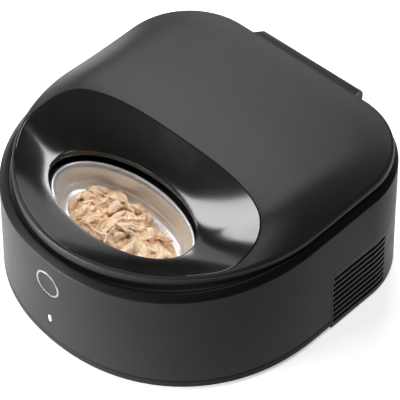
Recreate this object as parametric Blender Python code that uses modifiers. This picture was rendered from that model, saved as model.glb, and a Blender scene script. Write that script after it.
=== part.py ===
"""A chilled wet-food dispenser for pets.

Everything hangs from one empty, whose origin is the centre of the front arc on the
floor. Lengths are in metres. The front of the dispenser faces -Y and +Z is up.
"""

import math

import bmesh
import bpy
from mathutils import Matrix, Vector

MM = 0.001

# Fits
fit_gap = 0.3 * MM
seam_gap = 0.6 * MM
cut_overrun = 4 * MM
turned_weld = 0.01 * MM
flat_weld = 0.001 * MM
hit_tolerance = 0.000001
crease_angle = math.radians(32)

# Housing outline in plan
body_half_width = 160 * MM
front_depth = 169.3 * MM
rear_depth = 168 * MM
rear_corner = 88.5 * MM
front_power = 2.15
side_flare = 10 * MM
front_flare = 2.5 * MM
rear_flare = 0.5 * MM
wall = 2.5 * MM
front_steps = 28
corner_steps = 7
side_steps = 3
rear_steps = 4

# Base cover and feet
foot_height = 2 * MM
foot_radius = 9 * MM
foot_side_room = 60 * MM
foot_front_room = 69.3 * MM
foot_rear_room = 53 * MM
base_floor = 2.5 * MM
base_rim = 10 * MM
base_chamfer = 3 * MM

# Body shell and its shoulder
seam_height = 116.3 * MM
seam_slope = 0.033
shoulder_in = 6 * MM
shoulder_up = 5.5 * MM
shoulder_flat = 2.5 * MM
ledge_width = 4 * MM
ledge_depth = 2.5 * MM
ledge_taper = 8 * MM
deck_drop = 2 * MM

# Base screws and the bosses they enter
screw_radius = 1.5 * MM
screw_head_radius = 3.2 * MM
screw_head = 1.6 * MM
screw_length = 20 * MM
screw_boss_radius = 5 * MM
screw_boss_height = 17 * MM
screw_boss_sink = 1 * MM
screw_column_trim = 0.6 * MM
screw_side_y = 8 * MM
screw_front_x = 60 * MM

# Lid shell
lid_gap = 3.5 * MM
lid_side_inset = 5 * MM
lid_front_inset = 8.5 * MM
lid_rear_inset = 9.9 * MM
lid_corner_trim = 12.5 * MM
lid_power = 1.94
lid_wall = 2.5 * MM
lid_edge_rise = 12 * MM
lid_rear_rise = 6.5 * MM
roll_in = 3.5 * MM
roll_front = 2 * MM
roll_rear = 6 * MM
dome_rise = 17 * MM
dome_width = 40 * MM
rim_levels = (50 * MM, 24 * MM, 8 * MM, 3.5 * MM, 1 * MM)
rim_level_shares = (0.66, 0.45, 0.28, 0.16, 0.06)

# Lid liner and seal
liner_thick = 1.2 * MM
liner_rear_room = 24 * MM
liner_corner_trim = 16 * MM
liner_share = 0.85
seal_inset = 5.8 * MM
seal_width = 3 * MM
seal_margin = 1.2 * MM

# Hinge: the barrel turns on two pins held in ears of the body shell
hinge_back = 4.3 * MM
hinge_rise = 4.7 * MM
barrel_radius = 14 * MM
barrel_corner_room = 10 * MM
barrel_clearance = 1.6 * MM
barrel_flare = 5 * MM
barrel_wing_share = 0.55
pin_radius = 2 * MM
pin_length = 16 * MM
lid_open_angle = math.radians(85)

# Scoop insert
scoop_side_room = 28 * MM
scoop_behind_bowl = 12.3 * MM
scoop_rear = 62.5 * MM
scoop_front_power = 1.7
scoop_rear_power = 3
scoop_sheet = 2.2 * MM
scoop_rim = 3.3 * MM
scoop_dish = 1.25
collar_height = 6.5 * MM
hole_drop = 10 * MM
hole_margin = 0.9 * MM
scoop_shares = (1.0, 0.75, 0.45, 0.2, 0.06, 0.0)
scoop_under_shares = (0.06, 0.45, 1.0)

# Carousel and bowls
chamber_side_room = 22.8 * MM
chamber_end_room = 31.4 * MM
chamber_bias = 2.65 * MM
bowl_count = 3
bowl_pitch_share = 0.6104
bowl_length_share = 0.6141
bowl_depth = 29 * MM
bowl_sheet = 0.9 * MM
bowl_draft = 5 * MM
bowl_fillet = 6 * MM
bowl_bend_share = 0.3
bowl_bead = 3.2 * MM
bead_height = 3.7 * MM
bead_round = 0.9 * MM
bowl_headroom = 5.5 * MM
bowl_steps = 28
tray_plate = 3 * MM
tray_margin = 7.5 * MM
tray_hub_radius = 11 * MM

# Food portion in the front bowl
food_depth = 14 * MM
food_clearance = 1.2 * MM
food_lump = 1.6 * MM
food_ring_shares = (0.94, 0.8, 0.6, 0.38, 0.16)
food_steps = 36
food_waves = 5
food_wave_lead = 7
food_ripples = 9
food_ripple_lag = 4
food_ripple_share = 0.7
food_round_share = 0.4
food_round_power = 4
food_left_share = 0.06

# Chamber tub and insulation
well_clearance = 4 * MM
bowl_ground_gap = 5 * MM
insulation_thick = 8 * MM
insulation_top_gap = 8 * MM
insulation_steps = 48

# Spindle, bush and gears
spindle_radius = 5 * MM
spindle_tail = 3 * MM
bush_wall = 3 * MM
bush_flange = 2 * MM
bush_flange_height = 1.5 * MM
gear_module = 2 * MM
gear_teeth = 48
pinion_teeth = 12
gear_thick = 6 * MM
gear_hub_radius = 11 * MM
gear_drop = 4 * MM
tooth_addendum_share = 0.9
tooth_dedendum_share = 1.2
tooth_root_share = 0.62
tooth_tip_share = 0.26
pillar_radius = 8 * MM

# Gear motor
motor_radius = 18.5 * MM
motor_height = 24 * MM
motor_gap = 1.5 * MM
motor_shaft_radius = 3 * MM
motor_bore_depth = 6 * MM
motor_seat_radius = 14 * MM

# Cooling stack
stack_x_share = 0.583
stack_behind_spindle = 56 * MM
cold_plate_length = 56 * MM
cold_plate_width = 44 * MM
module_side = 40 * MM
module_thick = 3.8 * MM
sink_base = 5 * MM
sink_fin = 2 * MM
sink_fins = 9
sink_foot_gap = 0.6 * MM
fan_room = 6.1 * MM
fan_thick = 15 * MM
fan_rim = 2 * MM
fan_hub_radius = 9.5 * MM
fan_blades = 7
fan_tip_gap = 1.2 * MM
fan_blade_thick = 1.2 * MM
fan_blade_chord = 8 * MM
fan_blade_pitch = math.radians(38)
fan_strut = 3 * MM
strut_thick_share = 0.8
fan_plate = 2.5 * MM
fan_corner = 4 * MM
fan_wall_gap = 3 * MM

# Rear vent panel
vent_front = 21 * MM
vent_top = 71 * MM
vent_corner = 12 * MM
slot_count = 9
slot_height = 3.8 * MM
slot_pitch = 6.6 * MM
slot_first = 7.5 * MM
slot_inset = 3 * MM
slot_rear_room = 70 * MM

# Power socket
socket_x = 45 * MM
socket_height = 26 * MM
socket_radius = 6 * MM
socket_bore = 3.6 * MM
socket_depth = 9 * MM
socket_body = 13 * MM

# Front button, light pipe and front board
button_height = 81.4 * MM
button_radius = 12 * MM
button_cap = 3 * MM
button_flange = 1.2 * MM
button_flange_height = 1 * MM
button_travel = 1.2 * MM
button_stem_radius = 3 * MM
button_dish = 0.3 * MM
ring_width = 2.2 * MM
ring_depth = 8 * MM
ring_bevel = 0.5 * MM
lamp_height = 35.9 * MM
lamp_width = 2.6 * MM
lamp_length = 8 * MM
board_setback = 18 * MM
board_thick = 1.6 * MM
front_board_width = 22 * MM
front_board_margin = 9 * MM
switch_side = 6 * MM
switch_thick = 4 * MM
light_side = 3.4 * MM
light_thick = 2.4 * MM
board_post_radius = 3.5 * MM
board_post_shares = (0.3, 0.55)

# Control board on the base
control_width = 88 * MM
control_depth = 52 * MM
control_front_room = 73.3 * MM
control_rise = 9 * MM
standoff_radius = 3 * MM
standoff_inset = 6 * MM
chip_side = 13 * MM
chip_thick = 2 * MM
capacitor_radius = 5 * MM
capacitor_height = 13 * MM
chip_x_share = 0.2
capacitor_x_share = -0.3

# Places that follow from the sizes above
base_reach = front_depth + front_flare * (1 - (foot_height + base_chamfer) / seam_height)
barrel_half_length = body_half_width - rear_corner - barrel_corner_room
barrel_reach = rear_depth - hinge_back + barrel_radius
origin_shift = (base_reach - barrel_reach) / 2
base_top = foot_height + base_rim
base_inner = foot_height + base_floor
foot_side = body_half_width - foot_side_room
foot_front = front_depth - foot_front_room
foot_rear = rear_depth - foot_rear_room
control_forward = front_depth - control_front_room
slot_rear = rear_depth - slot_rear_room
carousel_back = (rear_depth - front_depth) / 2 + chamber_bias
well_radius = min(body_half_width - chamber_side_room, (front_depth + rear_depth) / 2 - chamber_end_room)
tray_radius = well_radius - well_clearance
bowl_pitch = tray_radius * bowl_pitch_share
bowl_half_length = tray_radius * bowl_length_share
bowl_half_width = tray_radius - tray_margin - bowl_pitch
bowl_centre = carousel_back - bowl_pitch
scoop_forward = -bowl_centre - scoop_behind_bowl
scoop_front = front_depth - lid_front_inset - scoop_rim - scoop_forward
scoop_half_width = body_half_width - scoop_side_room
liner_rear = rear_depth - liner_rear_room
liner_corner = rear_corner - liner_corner_trim
stack_x = well_radius * stack_x_share
stack_back = carousel_back + stack_behind_spindle
lid_edge = seam_height + lid_edge_rise
hole_height = lid_edge - hole_drop
bowl_top = hole_height - collar_height - bowl_headroom
tray_top = bowl_top - bead_height - fit_gap
well_floor = bowl_top - bowl_depth - bowl_sheet - bowl_ground_gap
well_under = well_floor - wall
insulation_under = well_under - fit_gap - insulation_thick
sink_top = insulation_under - fit_gap
gear_top = insulation_under - gear_drop
fan_side = insulation_under - base_inner - fan_room
fan_bore_radius = fan_side / 2 - fan_rim
gear_bottom = gear_top - gear_thick
spindle_bottom = gear_bottom - spindle_tail
spindle_bore = spindle_radius + fit_gap
bush_radius = spindle_bore + bush_wall
hinge_y = rear_depth - hinge_back
hinge_z = seam_height + hinge_rise
hole_half_length = bowl_half_length + hole_margin
hole_half_width = bowl_half_width + hole_margin
gear_centres = gear_module * (gear_teeth + pinion_teeth) / 2
button_bore = button_radius + fit_gap
ring_radius = button_bore + ring_width
flange_radius = button_radius + button_flange
board_face = board_setback - front_depth


def clear_scene():
    for item in list(bpy.data.objects):
        bpy.data.objects.remove(item, do_unlink=True)


def new_collection(name):
    made = bpy.data.collections.new(name)
    bpy.context.scene.collection.children.link(made)
    return made


def material(name, colour, roughness, metallic=0.0):
    made = bpy.data.materials.new(name)
    made.use_nodes = True
    shader = made.node_tree.nodes["Principled BSDF"]
    shader.inputs["Base Color"].default_value = (*colour, 1.0)
    shader.inputs["Roughness"].default_value = roughness
    shader.inputs["Metallic"].default_value = metallic
    made.diffuse_color = (*colour, 1.0)
    return made


clear_scene()
parts = new_collection("wet_food_dispenser")
cutters = new_collection("cutters")
frame = bpy.data.objects.new("dispenser_frame", None)
parts.objects.link(frame)
frame.location = (0, origin_shift, 0)


def finish_mesh(name, mesh_data, look=None):
    """A mesh object under the dispenser's frame, or a cutter if it has no look."""
    mesh = bpy.data.meshes.new(name)
    bmesh.ops.recalc_face_normals(mesh_data, faces=mesh_data.faces)
    mesh_data.to_mesh(mesh)
    mesh_data.free()
    made = bpy.data.objects.new(name, mesh)
    made.parent = frame
    if look is None:
        cutters.objects.link(made)
        made.hide_render = True
        made.display_type = "WIRE"
    else:
        parts.objects.link(made)
        mesh.materials.append(material(name + "_finish", *look))
        mesh.shade_smooth()
        mesh.set_sharp_from_angle(angle=crease_angle)
    return made


def loft(name, rings, look=None, ring_shaped=False):
    """A solid through rings of equal counts, capped, or closed back onto itself."""
    data = bmesh.new()
    rows = [[data.verts.new(point) for point in ring] for ring in rings]
    pairs = list(zip(rows, rows[1:]))
    if ring_shaped:
        pairs.append((rows[-1], rows[0]))
    count = len(rows[0])
    for low, high in pairs:
        for i in range(count):
            j = (i + 1) % count
            data.faces.new((low[i], low[j], high[j], high[i]))
    if not ring_shaped:
        data.faces.new(rows[0])
        data.faces.new(list(reversed(rows[-1])))
    bmesh.ops.triangulate(data, faces=data.faces)
    return finish_mesh(name, data, look)


def turned(name, profile, look=None, steps=32, location=(0, 0, 0), rotation=(0, 0, 0)):
    """A profile of (radius, height) points turned about the object's own Z axis."""
    mesh = bpy.data.meshes.new(name)
    closed = profile[0][0] > 0
    edges = [(i, i + 1) for i in range(len(profile) - 1)]
    if closed:
        edges.append((len(profile) - 1, 0))
    mesh.from_pydata([(radius, 0, height) for radius, height in profile], edges, [])
    made = bpy.data.objects.new(name, mesh)
    screw = made.modifiers.new("turn", "SCREW")
    screw.steps = steps
    screw.render_steps = steps
    screw.use_merge_vertices = True
    screw.merge_threshold = turned_weld
    screw.use_smooth_shade = False
    parts.objects.link(made)
    bpy.context.view_layer.update()
    graph = bpy.context.evaluated_depsgraph_get()
    data = bmesh.new()
    data.from_object(made, graph)
    bpy.data.objects.remove(made, do_unlink=True)
    solid = finish_mesh(name, data, look)
    solid.location = location
    solid.rotation_euler = rotation
    return solid


def flat(name, outlines, thickness, look=None, location=(0, 0, 0), rotation=(0, 0, 0)):
    """A flat piece: closed outlines filled as a 2D curve, thickened about its plane."""
    curve = bpy.data.curves.new(name, "CURVE")
    curve.dimensions = "2D"
    curve.fill_mode = "BOTH"
    curve.extrude = thickness / 2
    for outline in outlines:
        spline = curve.splines.new("POLY")
        spline.points.add(len(outline) - 1)
        for point, (x, y) in zip(spline.points, outline):
            point.co = (x, y, 0, 1)
        spline.use_cyclic_u = True
    drawn = bpy.data.objects.new(name, curve)
    parts.objects.link(drawn)
    bpy.context.view_layer.update()
    graph = bpy.context.evaluated_depsgraph_get()
    mesh = bpy.data.meshes.new_from_object(drawn.evaluated_get(graph))
    data = bmesh.new()
    data.from_mesh(mesh)
    bmesh.ops.remove_doubles(data, verts=data.verts, dist=flat_weld)
    bpy.data.objects.remove(drawn, do_unlink=True)
    solid = finish_mesh(name, data, look)
    solid.location = location
    solid.rotation_euler = rotation
    return solid


def box(name, size, centre, look=None, bevel=0.0):
    """A box from a cube primitive, with its origin at its centre."""
    data = bmesh.new()
    bmesh.ops.create_cube(data, size=1.0, matrix=Matrix.Diagonal((*size, 1.0)))
    if bevel > 0:
        bmesh.ops.bevel(
            data,
            geom=list(data.edges),
            offset=bevel,
            segments=1,
            affect="EDGES",
        )
    made = finish_mesh(name, data, look)
    made.location = centre
    return made


def cylinder(name, radius, start, end, look=None, steps=24):
    """A cylinder primitive from one point to another."""
    start = Vector(start)
    end = Vector(end)
    data = bmesh.new()
    bmesh.ops.create_cone(
        data,
        cap_ends=True,
        segments=steps,
        radius1=radius,
        radius2=radius,
        depth=(end - start).length,
    )
    made = finish_mesh(name, data, look)
    made.location = (start + end) / 2
    made.rotation_euler = (end - start).to_track_quat("Z", "Y").to_euler()
    return made


def combine(target, other, operation):
    """Boolean with a helper, which moves to the cutters."""
    if other.name in parts.objects:
        parts.objects.unlink(other)
        cutters.objects.link(other)
    other.hide_render = True
    other.display_type = "WIRE"
    step = target.modifiers.new(other.name, "BOOLEAN")
    step.operation = operation
    step.solver = "EXACT"
    step.object = other


def circle(radius, steps, centre=(0, 0)):
    return [
        (
            centre[0] + radius * math.cos(2 * math.pi * i / steps),
            centre[1] + radius * math.sin(2 * math.pi * i / steps),
        )
        for i in range(steps)
    ]


def power_arc(value, power):
    return math.copysign(abs(value) ** (2 / power), value)


def outline(half_width, front, rear, corner, power):
    """The housing's plan: a rounded front, straight sides and rounded rear corners."""
    points = []
    for i in range(front_steps + 1):
        turn = math.pi * i / front_steps
        points.append(
            (
                half_width * power_arc(math.cos(turn), power),
                -front * power_arc(math.sin(turn), power),
            )
        )
    side_end = rear - corner
    for i in range(1, side_steps):
        points.append((-half_width, side_end * i / side_steps))
    for i in range(corner_steps + 1):
        turn = math.pi / 2 * i / corner_steps
        points.append(
            (
                corner - half_width - corner * math.cos(turn),
                side_end + corner * math.sin(turn),
            )
        )
    rear_end = half_width - corner
    for i in range(1, rear_steps):
        points.append((rear_end * (2 * i / rear_steps - 1), rear))
    for i in range(corner_steps + 1):
        turn = math.pi / 2 * (1 - i / corner_steps)
        points.append(
            (
                rear_end + corner * math.cos(turn),
                side_end + corner * math.sin(turn),
            )
        )
    for i in range(1, side_steps):
        points.append((half_width, side_end * (1 - i / side_steps)))
    return points


def front_at(height):
    """How far forward the front wall stands at a height."""
    return front_depth + front_flare * max(0, 1 - height / seam_height)


def body_outline(inset, height=None):
    """The housing's outline at a height, which flares towards the base."""
    flare = 0 if height is None else max(0, 1 - height / seam_height)
    return outline(
        body_half_width + side_flare * flare - inset,
        front_depth + front_flare * flare - inset,
        rear_depth + rear_flare * flare - inset,
        rear_corner - inset,
        front_power,
    )


def lid_outline(inset=0.0):
    return outline(
        body_half_width - lid_side_inset - inset,
        front_depth - lid_front_inset - inset,
        rear_depth - lid_rear_inset - inset,
        rear_corner - lid_corner_trim - inset,
        lid_power,
    )


def level(points, height):
    return [Vector((x, y, height)) for x, y in points]


def seam_z(y):
    return seam_height + seam_slope * y


def sloped(points, rise):
    """Points at a height above the sloping seam between the body and the lid."""
    return [Vector((x, y, seam_z(y) + rise)) for x, y in points]


def rearward(y):
    """0 at the front arc's centre and before it, rising smoothly to 1 at the rear."""
    share = min(max(y / (rear_depth - lid_rear_inset), 0), 1)
    return share * share * (3 - 2 * share)


def lid_bottom(y):
    return seam_z(y) + shoulder_up + lid_gap


def edge_distance(x, y, edge):
    """The distance from a point to the closed outline, in plan."""
    point = Vector((x, y))
    best = None
    for i, start in enumerate(edge):
        a = Vector(start)
        along = Vector(edge[(i + 1) % len(edge)]) - a
        share = min(max((point - a).dot(along) / along.length_squared, 0), 1)
        away = (point - a - along * share).length
        best = away if best is None else min(best, away)
    return best


lid_edge_points = lid_outline()


def dome_lift(y):
    """0 at the lid's front edge, rising to 1 at the front arc's centre and behind it."""
    share = min(max(1 + y / front_depth, 0), 1)
    return (share * share * (3 - 2 * share)) ** 2


def lid_height(x, y):
    """The lid's upper surface: a rolled edge, then a dome that is highest in the middle."""
    inward = edge_distance(x, y, lid_edge_points)
    rear = rearward(y)
    roll = roll_front + (roll_rear - roll_front) * rear
    within = 1 - min(inward / roll_in, 1)
    rolled = roll * math.sqrt(1 - within * within)
    away = 1 - min(inward / dome_width, 1)
    dome = dome_rise * dome_lift(y) * (1 - rear) * (1 - away * away)
    return lid_edge + lid_rear_rise * rear + rolled + dome


def bearings():
    """The bearing of each lid outline point, seen from the scoop's centre."""
    return [math.atan2(y + scoop_forward, x) for x, y in lid_edge_points]


def reach_to(edge, bearing):
    """How far the closed outline lies from the scoop's centre at a bearing."""
    toward = Vector((math.cos(bearing), math.sin(bearing)))
    centre = Vector((0, -scoop_forward))
    reaches = []
    for i, start in enumerate(edge):
        a = Vector(start) - centre
        along = Vector(edge[(i + 1) % len(edge)]) - centre - a
        turn = toward.cross(along)
        if abs(turn) < 1e-12:
            continue
        share = a.cross(toward) / turn
        reach = a.cross(along) / turn
        if -hit_tolerance <= share <= 1 + hit_tolerance and reach > 0:
            reaches.append(reach)
    return min(reaches)


def scoop_point(bearing, inset=0.0):
    """A point on the scoop's outer outline, kept inside the lid's rim."""
    behind = math.sin(bearing) > 0
    power = scoop_rear_power if behind else scoop_front_power
    depth = (scoop_rear if behind else scoop_front) - inset
    across = abs(math.cos(bearing)) / (scoop_half_width - inset)
    along = abs(math.sin(bearing)) / depth
    reach = (across**power + along**power) ** (-1 / power)
    reach = min(reach, reach_to(lid_outline(scoop_rim + inset), bearing))
    return reach * math.cos(bearing), reach * math.sin(bearing) - scoop_forward


def hole_point(bearing, inset=0.0):
    """A point on the oval hole, which lies over the front bowl."""
    return (
        (hole_half_length - inset) * math.cos(bearing),
        bowl_centre + (hole_half_width - inset) * math.sin(bearing),
    )


def mix(first, second, share):
    return tuple(a + (b - a) * share for a, b in zip(first, second))


def ellipse(half_length, half_width, height, steps, centre_y):
    return [
        Vector(
            (
                half_length * math.cos(2 * math.pi * i / steps),
                centre_y + half_width * math.sin(2 * math.pi * i / steps),
                height,
            )
        )
        for i in range(steps)
    ]


# Finishes, as colour, roughness and metallic value
CHARCOAL = ((0.045, 0.045, 0.046), 0.5)
DARK = ((0.02, 0.02, 0.021), 0.45)
GLOSS = ((0.018, 0.018, 0.019), 0.22)
RUBBER = ((0.015, 0.015, 0.015), 0.85)
STEEL = ((0.62, 0.61, 0.6), 0.28, 1.0)
ALUMINIUM = ((0.6, 0.6, 0.61), 0.4, 1.0)
WHITE_PLASTIC = ((0.75, 0.75, 0.73), 0.5)
FOAM = ((0.8, 0.79, 0.75), 0.9)
BOARD_GREEN = ((0.02, 0.12, 0.06), 0.5)
LAMP = ((0.9, 0.92, 0.95), 0.3)
FOOD = ((0.72, 0.45, 0.28), 0.6)


def hinge_notch(name):
    """The space that the hinge barrel turns in."""
    half = barrel_half_length + barrel_clearance
    return cylinder(
        name,
        barrel_radius + barrel_clearance,
        (-half, hinge_y, hinge_z),
        (half, hinge_y, hinge_z),
        steps=32,
    )


def hinge_bores(shell):
    """Blind bores for the hinge pins, in the body on both sides of the notch."""
    for side in (-1, 1):
        inner = barrel_half_length - cut_overrun
        bore = cylinder(
            f"shell_bore_{side}",
            pin_radius + fit_gap,
            (side * inner, hinge_y, hinge_z),
            (side * (pin_centre() + pin_length / 2 + fit_gap), hinge_y, hinge_z),
            steps=16,
        )
        combine(shell, bore, "DIFFERENCE")


def pin_centre():
    return barrel_half_length + barrel_clearance / 2


def vent_profile(gap):
    """The panel's side outline, in Y and Z, with one rounded upper front corner."""
    front = vent_front + gap
    top = vent_top - gap
    far = rear_depth + rear_flare + cut_overrun + wall
    radius = vent_corner - gap
    points = [(far, -cut_overrun), (far, top)]
    for i in range(corner_steps + 1):
        turn = math.pi / 2 * i / corner_steps
        points.append(
            (
                front + radius - radius * math.sin(turn),
                top - radius + radius * math.cos(turn),
            )
        )
    points.append((front, -cut_overrun))
    return points


def vent_block(name, gap):
    """The vent profile swept across the whole housing, as a cutter."""
    width = 2 * (body_half_width + side_flare + cut_overrun)
    return flat(
        name,
        [vent_profile(gap)],
        width,
        rotation=(math.pi / 2, 0, math.pi / 2),
    )


def screw_places():
    """Where the base screws stand: two beside the arc's centre, two at the front."""
    side_wall = body_half_width + side_flare * (1 - base_top / seam_height)
    side_x = side_wall - wall - screw_boss_radius + screw_boss_sink
    share = screw_front_x / side_wall
    front_y = front_at(base_top) * (1 - share**front_power) ** (1 / front_power)
    inward = wall + screw_boss_radius - screw_boss_sink
    places = []
    for side in (-1, 1):
        places.append((side * side_x, -screw_side_y))
        places.append((side * screw_front_x, inward - front_y))
    return places


def body_shell():
    deck_seat = shoulder_up - deck_drop - wall - fit_gap
    ledge_in = shoulder_in + shoulder_flat + ledge_width
    bottom = base_top + seam_gap
    rings = [
        level(body_outline(0, bottom), bottom),
        sloped(body_outline(0), 0),
        sloped(body_outline(shoulder_in), shoulder_up),
        sloped(body_outline(shoulder_in + shoulder_flat), shoulder_up),
        sloped(body_outline(shoulder_in + shoulder_flat), deck_seat),
        sloped(body_outline(ledge_in), deck_seat),
        sloped(body_outline(ledge_in), deck_seat - ledge_depth),
        sloped(body_outline(wall, seam_height - ledge_taper), deck_seat - ledge_depth - ledge_taper),
        level(body_outline(wall, bottom), bottom),
    ]
    shell = loft("body_shell", rings, CHARCOAL, ring_shaped=True)
    combine(shell, hinge_notch("shell_hinge_notch"), "DIFFERENCE")
    hinge_bores(shell)
    combine(shell, vent_block("shell_vent_cut", 0), "DIFFERENCE")
    for number, (x, y) in enumerate(screw_places(), 1):
        foot = base_top + 2 * seam_gap
        boss = cylinder(
            f"boss_{number}",
            screw_boss_radius,
            (x, y, foot),
            (x, y, foot + screw_boss_height),
        )
        combine(shell, boss, "UNION")
        bore = cylinder(
            f"boss_bore_{number}",
            screw_radius + fit_gap,
            (x, y, foot - cut_overrun),
            (x, y, foot_height + screw_head + screw_length + fit_gap),
            steps=12,
        )
        combine(shell, bore, "DIFFERENCE")
    for number, z in enumerate(board_post_heights(), 1):
        post = cylinder(
            f"board_post_{number}",
            board_post_radius,
            (0, wall / 2 - front_at(z), z),
            (0, board_face - fit_gap, z),
            steps=15,
        )
        combine(shell, post, "UNION")
    button_hole = cylinder(
        "button_hole",
        ring_radius + fit_gap,
        (0, -front_at(button_height) - cut_overrun, button_height),
        (0, -front_at(button_height) + ring_depth, button_height),
        steps=40,
    )
    combine(shell, button_hole, "DIFFERENCE")
    combine(shell, lamp_slot("lamp_hole", fit_gap, cut_overrun * 2), "DIFFERENCE")


def board_post_heights():
    span = button_height - lamp_height
    return [lamp_height + span * share for share in board_post_shares]


def stadium(width, length, steps=8):
    """A pill outline standing upright."""
    radius = width / 2
    straight = length / 2 - radius
    points = []
    for end in (1, -1):
        for i in range(steps + 1):
            turn = math.pi * i / steps
            points.append(
                (
                    end * radius * math.cos(turn),
                    end * (straight + radius * math.sin(turn)),
                )
            )
    return points


def lamp_slot(name, gap, depth, look=None, back=None):
    middle = -front_at(lamp_height) if back is None else back
    return flat(
        name,
        [stadium(lamp_width + 2 * gap, lamp_length + 2 * gap)],
        depth,
        look,
        (0, middle, lamp_height),
        (math.pi / 2, 0, 0),
    )


def build_base():
    inner = wall + fit_gap
    rings = [
        level(body_outline(inner, base_inner), base_inner),
        level(body_outline(inner, base_top), base_top),
        level(body_outline(0, base_top), base_top),
        level(body_outline(0, foot_height + base_chamfer), foot_height + base_chamfer),
        level(body_outline(base_chamfer, foot_height), foot_height),
    ]
    cover = loft("base_cover", rings, CHARCOAL)
    low = -cut_overrun
    high = base_top + cut_overrun
    envelope = loft(
        "panel_envelope",
        [
            level(body_outline(-cut_overrun, 0), low),
            level(body_outline(-cut_overrun, 0), high),
            level(body_outline(2 * wall, 0), high),
            level(body_outline(2 * wall, 0), low),
        ],
        ring_shaped=True,
    )
    combine(envelope, vent_block("envelope_block", 0), "INTERSECT")
    combine(cover, envelope, "DIFFERENCE")
    pillar = cylinder(
        "spindle_pillar",
        pillar_radius,
        (0, carousel_back, foot_height + base_floor / 2),
        (0, carousel_back, spindle_bottom - fit_gap),
    )
    combine(cover, pillar, "UNION")
    motor_seat = cylinder(
        "motor_seat",
        motor_seat_radius,
        (-gear_centres, carousel_back, foot_height + base_floor / 2),
        (-gear_centres, carousel_back, motor_bottom() - fit_gap),
    )
    combine(cover, motor_seat, "UNION")
    for number, (x, y) in enumerate(standoff_places(), 1):
        standoff = cylinder(
            f"standoff_{number}",
            standoff_radius,
            (x, y, foot_height + base_floor / 2),
            (x, y, base_inner + control_rise - fit_gap),
            steps=12,
        )
        combine(cover, standoff, "UNION")
    for number, (x, y) in enumerate(screw_places(), 1):
        column = cylinder(
            f"screw_column_{number}",
            screw_boss_radius - screw_column_trim,
            (x, y, foot_height + base_floor / 2),
            (x, y, base_top - fit_gap),
        )
        combine(cover, column, "UNION")
        bore = cylinder(
            f"screw_bore_{number}",
            screw_radius + fit_gap,
            (x, y, -cut_overrun),
            (x, y, base_top + cut_overrun),
            steps=12,
        )
        combine(cover, bore, "DIFFERENCE")
        sink = cylinder(
            f"screw_sink_{number}",
            screw_head_radius + fit_gap,
            (x, y, -cut_overrun),
            (x, y, foot_height + screw_head + fit_gap),
            steps=16,
        )
        combine(cover, sink, "DIFFERENCE")
        turned(
            f"base_screw_{number}",
            [
                (0, screw_head + screw_length),
                (screw_radius, screw_head + screw_length),
                (screw_radius, screw_head),
                (screw_head_radius, screw_head),
                (screw_head_radius, fit_gap),
                (0, fit_gap),
            ],
            STEEL,
            12,
            (x, y, foot_height),
        )
    places = [(side * foot_side, y) for y in (-foot_front, foot_rear) for side in (-1, 1)]
    for number, (x, y) in enumerate(places, 1):
        turned(
            f"foot_{number}",
            [
                (0, foot_height - fit_gap),
                (foot_radius, foot_height - fit_gap),
                (foot_radius, fit_gap),
                (foot_radius - fit_gap, 0),
                (0, 0),
            ],
            RUBBER,
            20,
            (x, y, 0),
        )


def standoff_places():
    x = control_width / 2 - standoff_inset
    y = control_depth / 2 - standoff_inset
    return [(i * x, j * y - control_forward) for i in (-1, 1) for j in (-1, 1)]


def motor_bottom():
    return gear_bottom - motor_gap - motor_height


def vent_panel():
    bottom = foot_height + fit_gap
    top = vent_top + cut_overrun
    panel = loft(
        "rear_vent_panel",
        [
            level(body_outline(0, bottom), bottom),
            level(body_outline(0, top), top),
            level(body_outline(wall, top), top),
            level(body_outline(wall, bottom), bottom),
        ],
        DARK,
        ring_shaped=True,
    )
    combine(panel, vent_block("panel_block", seam_gap), "INTERSECT")
    front = vent_front + slot_inset
    for number in range(slot_count):
        low = slot_first + number * slot_pitch
        overlap = max(0, low + slot_height - (vent_top - vent_corner))
        start = front + overlap * overlap / vent_corner / 2
        size = (2 * body_half_width + 4 * side_flare, slot_rear - start, slot_height)
        centre = (0, (slot_rear + start) / 2, low + slot_height / 2)
        combine(panel, box(f"vent_slot_{number + 1}", size, centre), "DIFFERENCE")
    hole = cylinder(
        "socket_hole",
        socket_radius + fit_gap,
        (socket_x, rear_depth - socket_body, socket_height),
        (socket_x, rear_depth + rear_flare + cut_overrun, socket_height),
    )
    combine(panel, hole, "DIFFERENCE")
    turned(
        "power_socket",
        [
            (0, socket_body),
            (socket_radius, socket_body),
            (socket_radius, 0),
            (socket_bore, 0),
            (socket_bore, socket_depth),
            (0, socket_depth),
        ],
        DARK,
        24,
        (socket_x, rear_depth + rear_flare / 2, socket_height),
        (math.pi / 2, 0, 0),
    )


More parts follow.
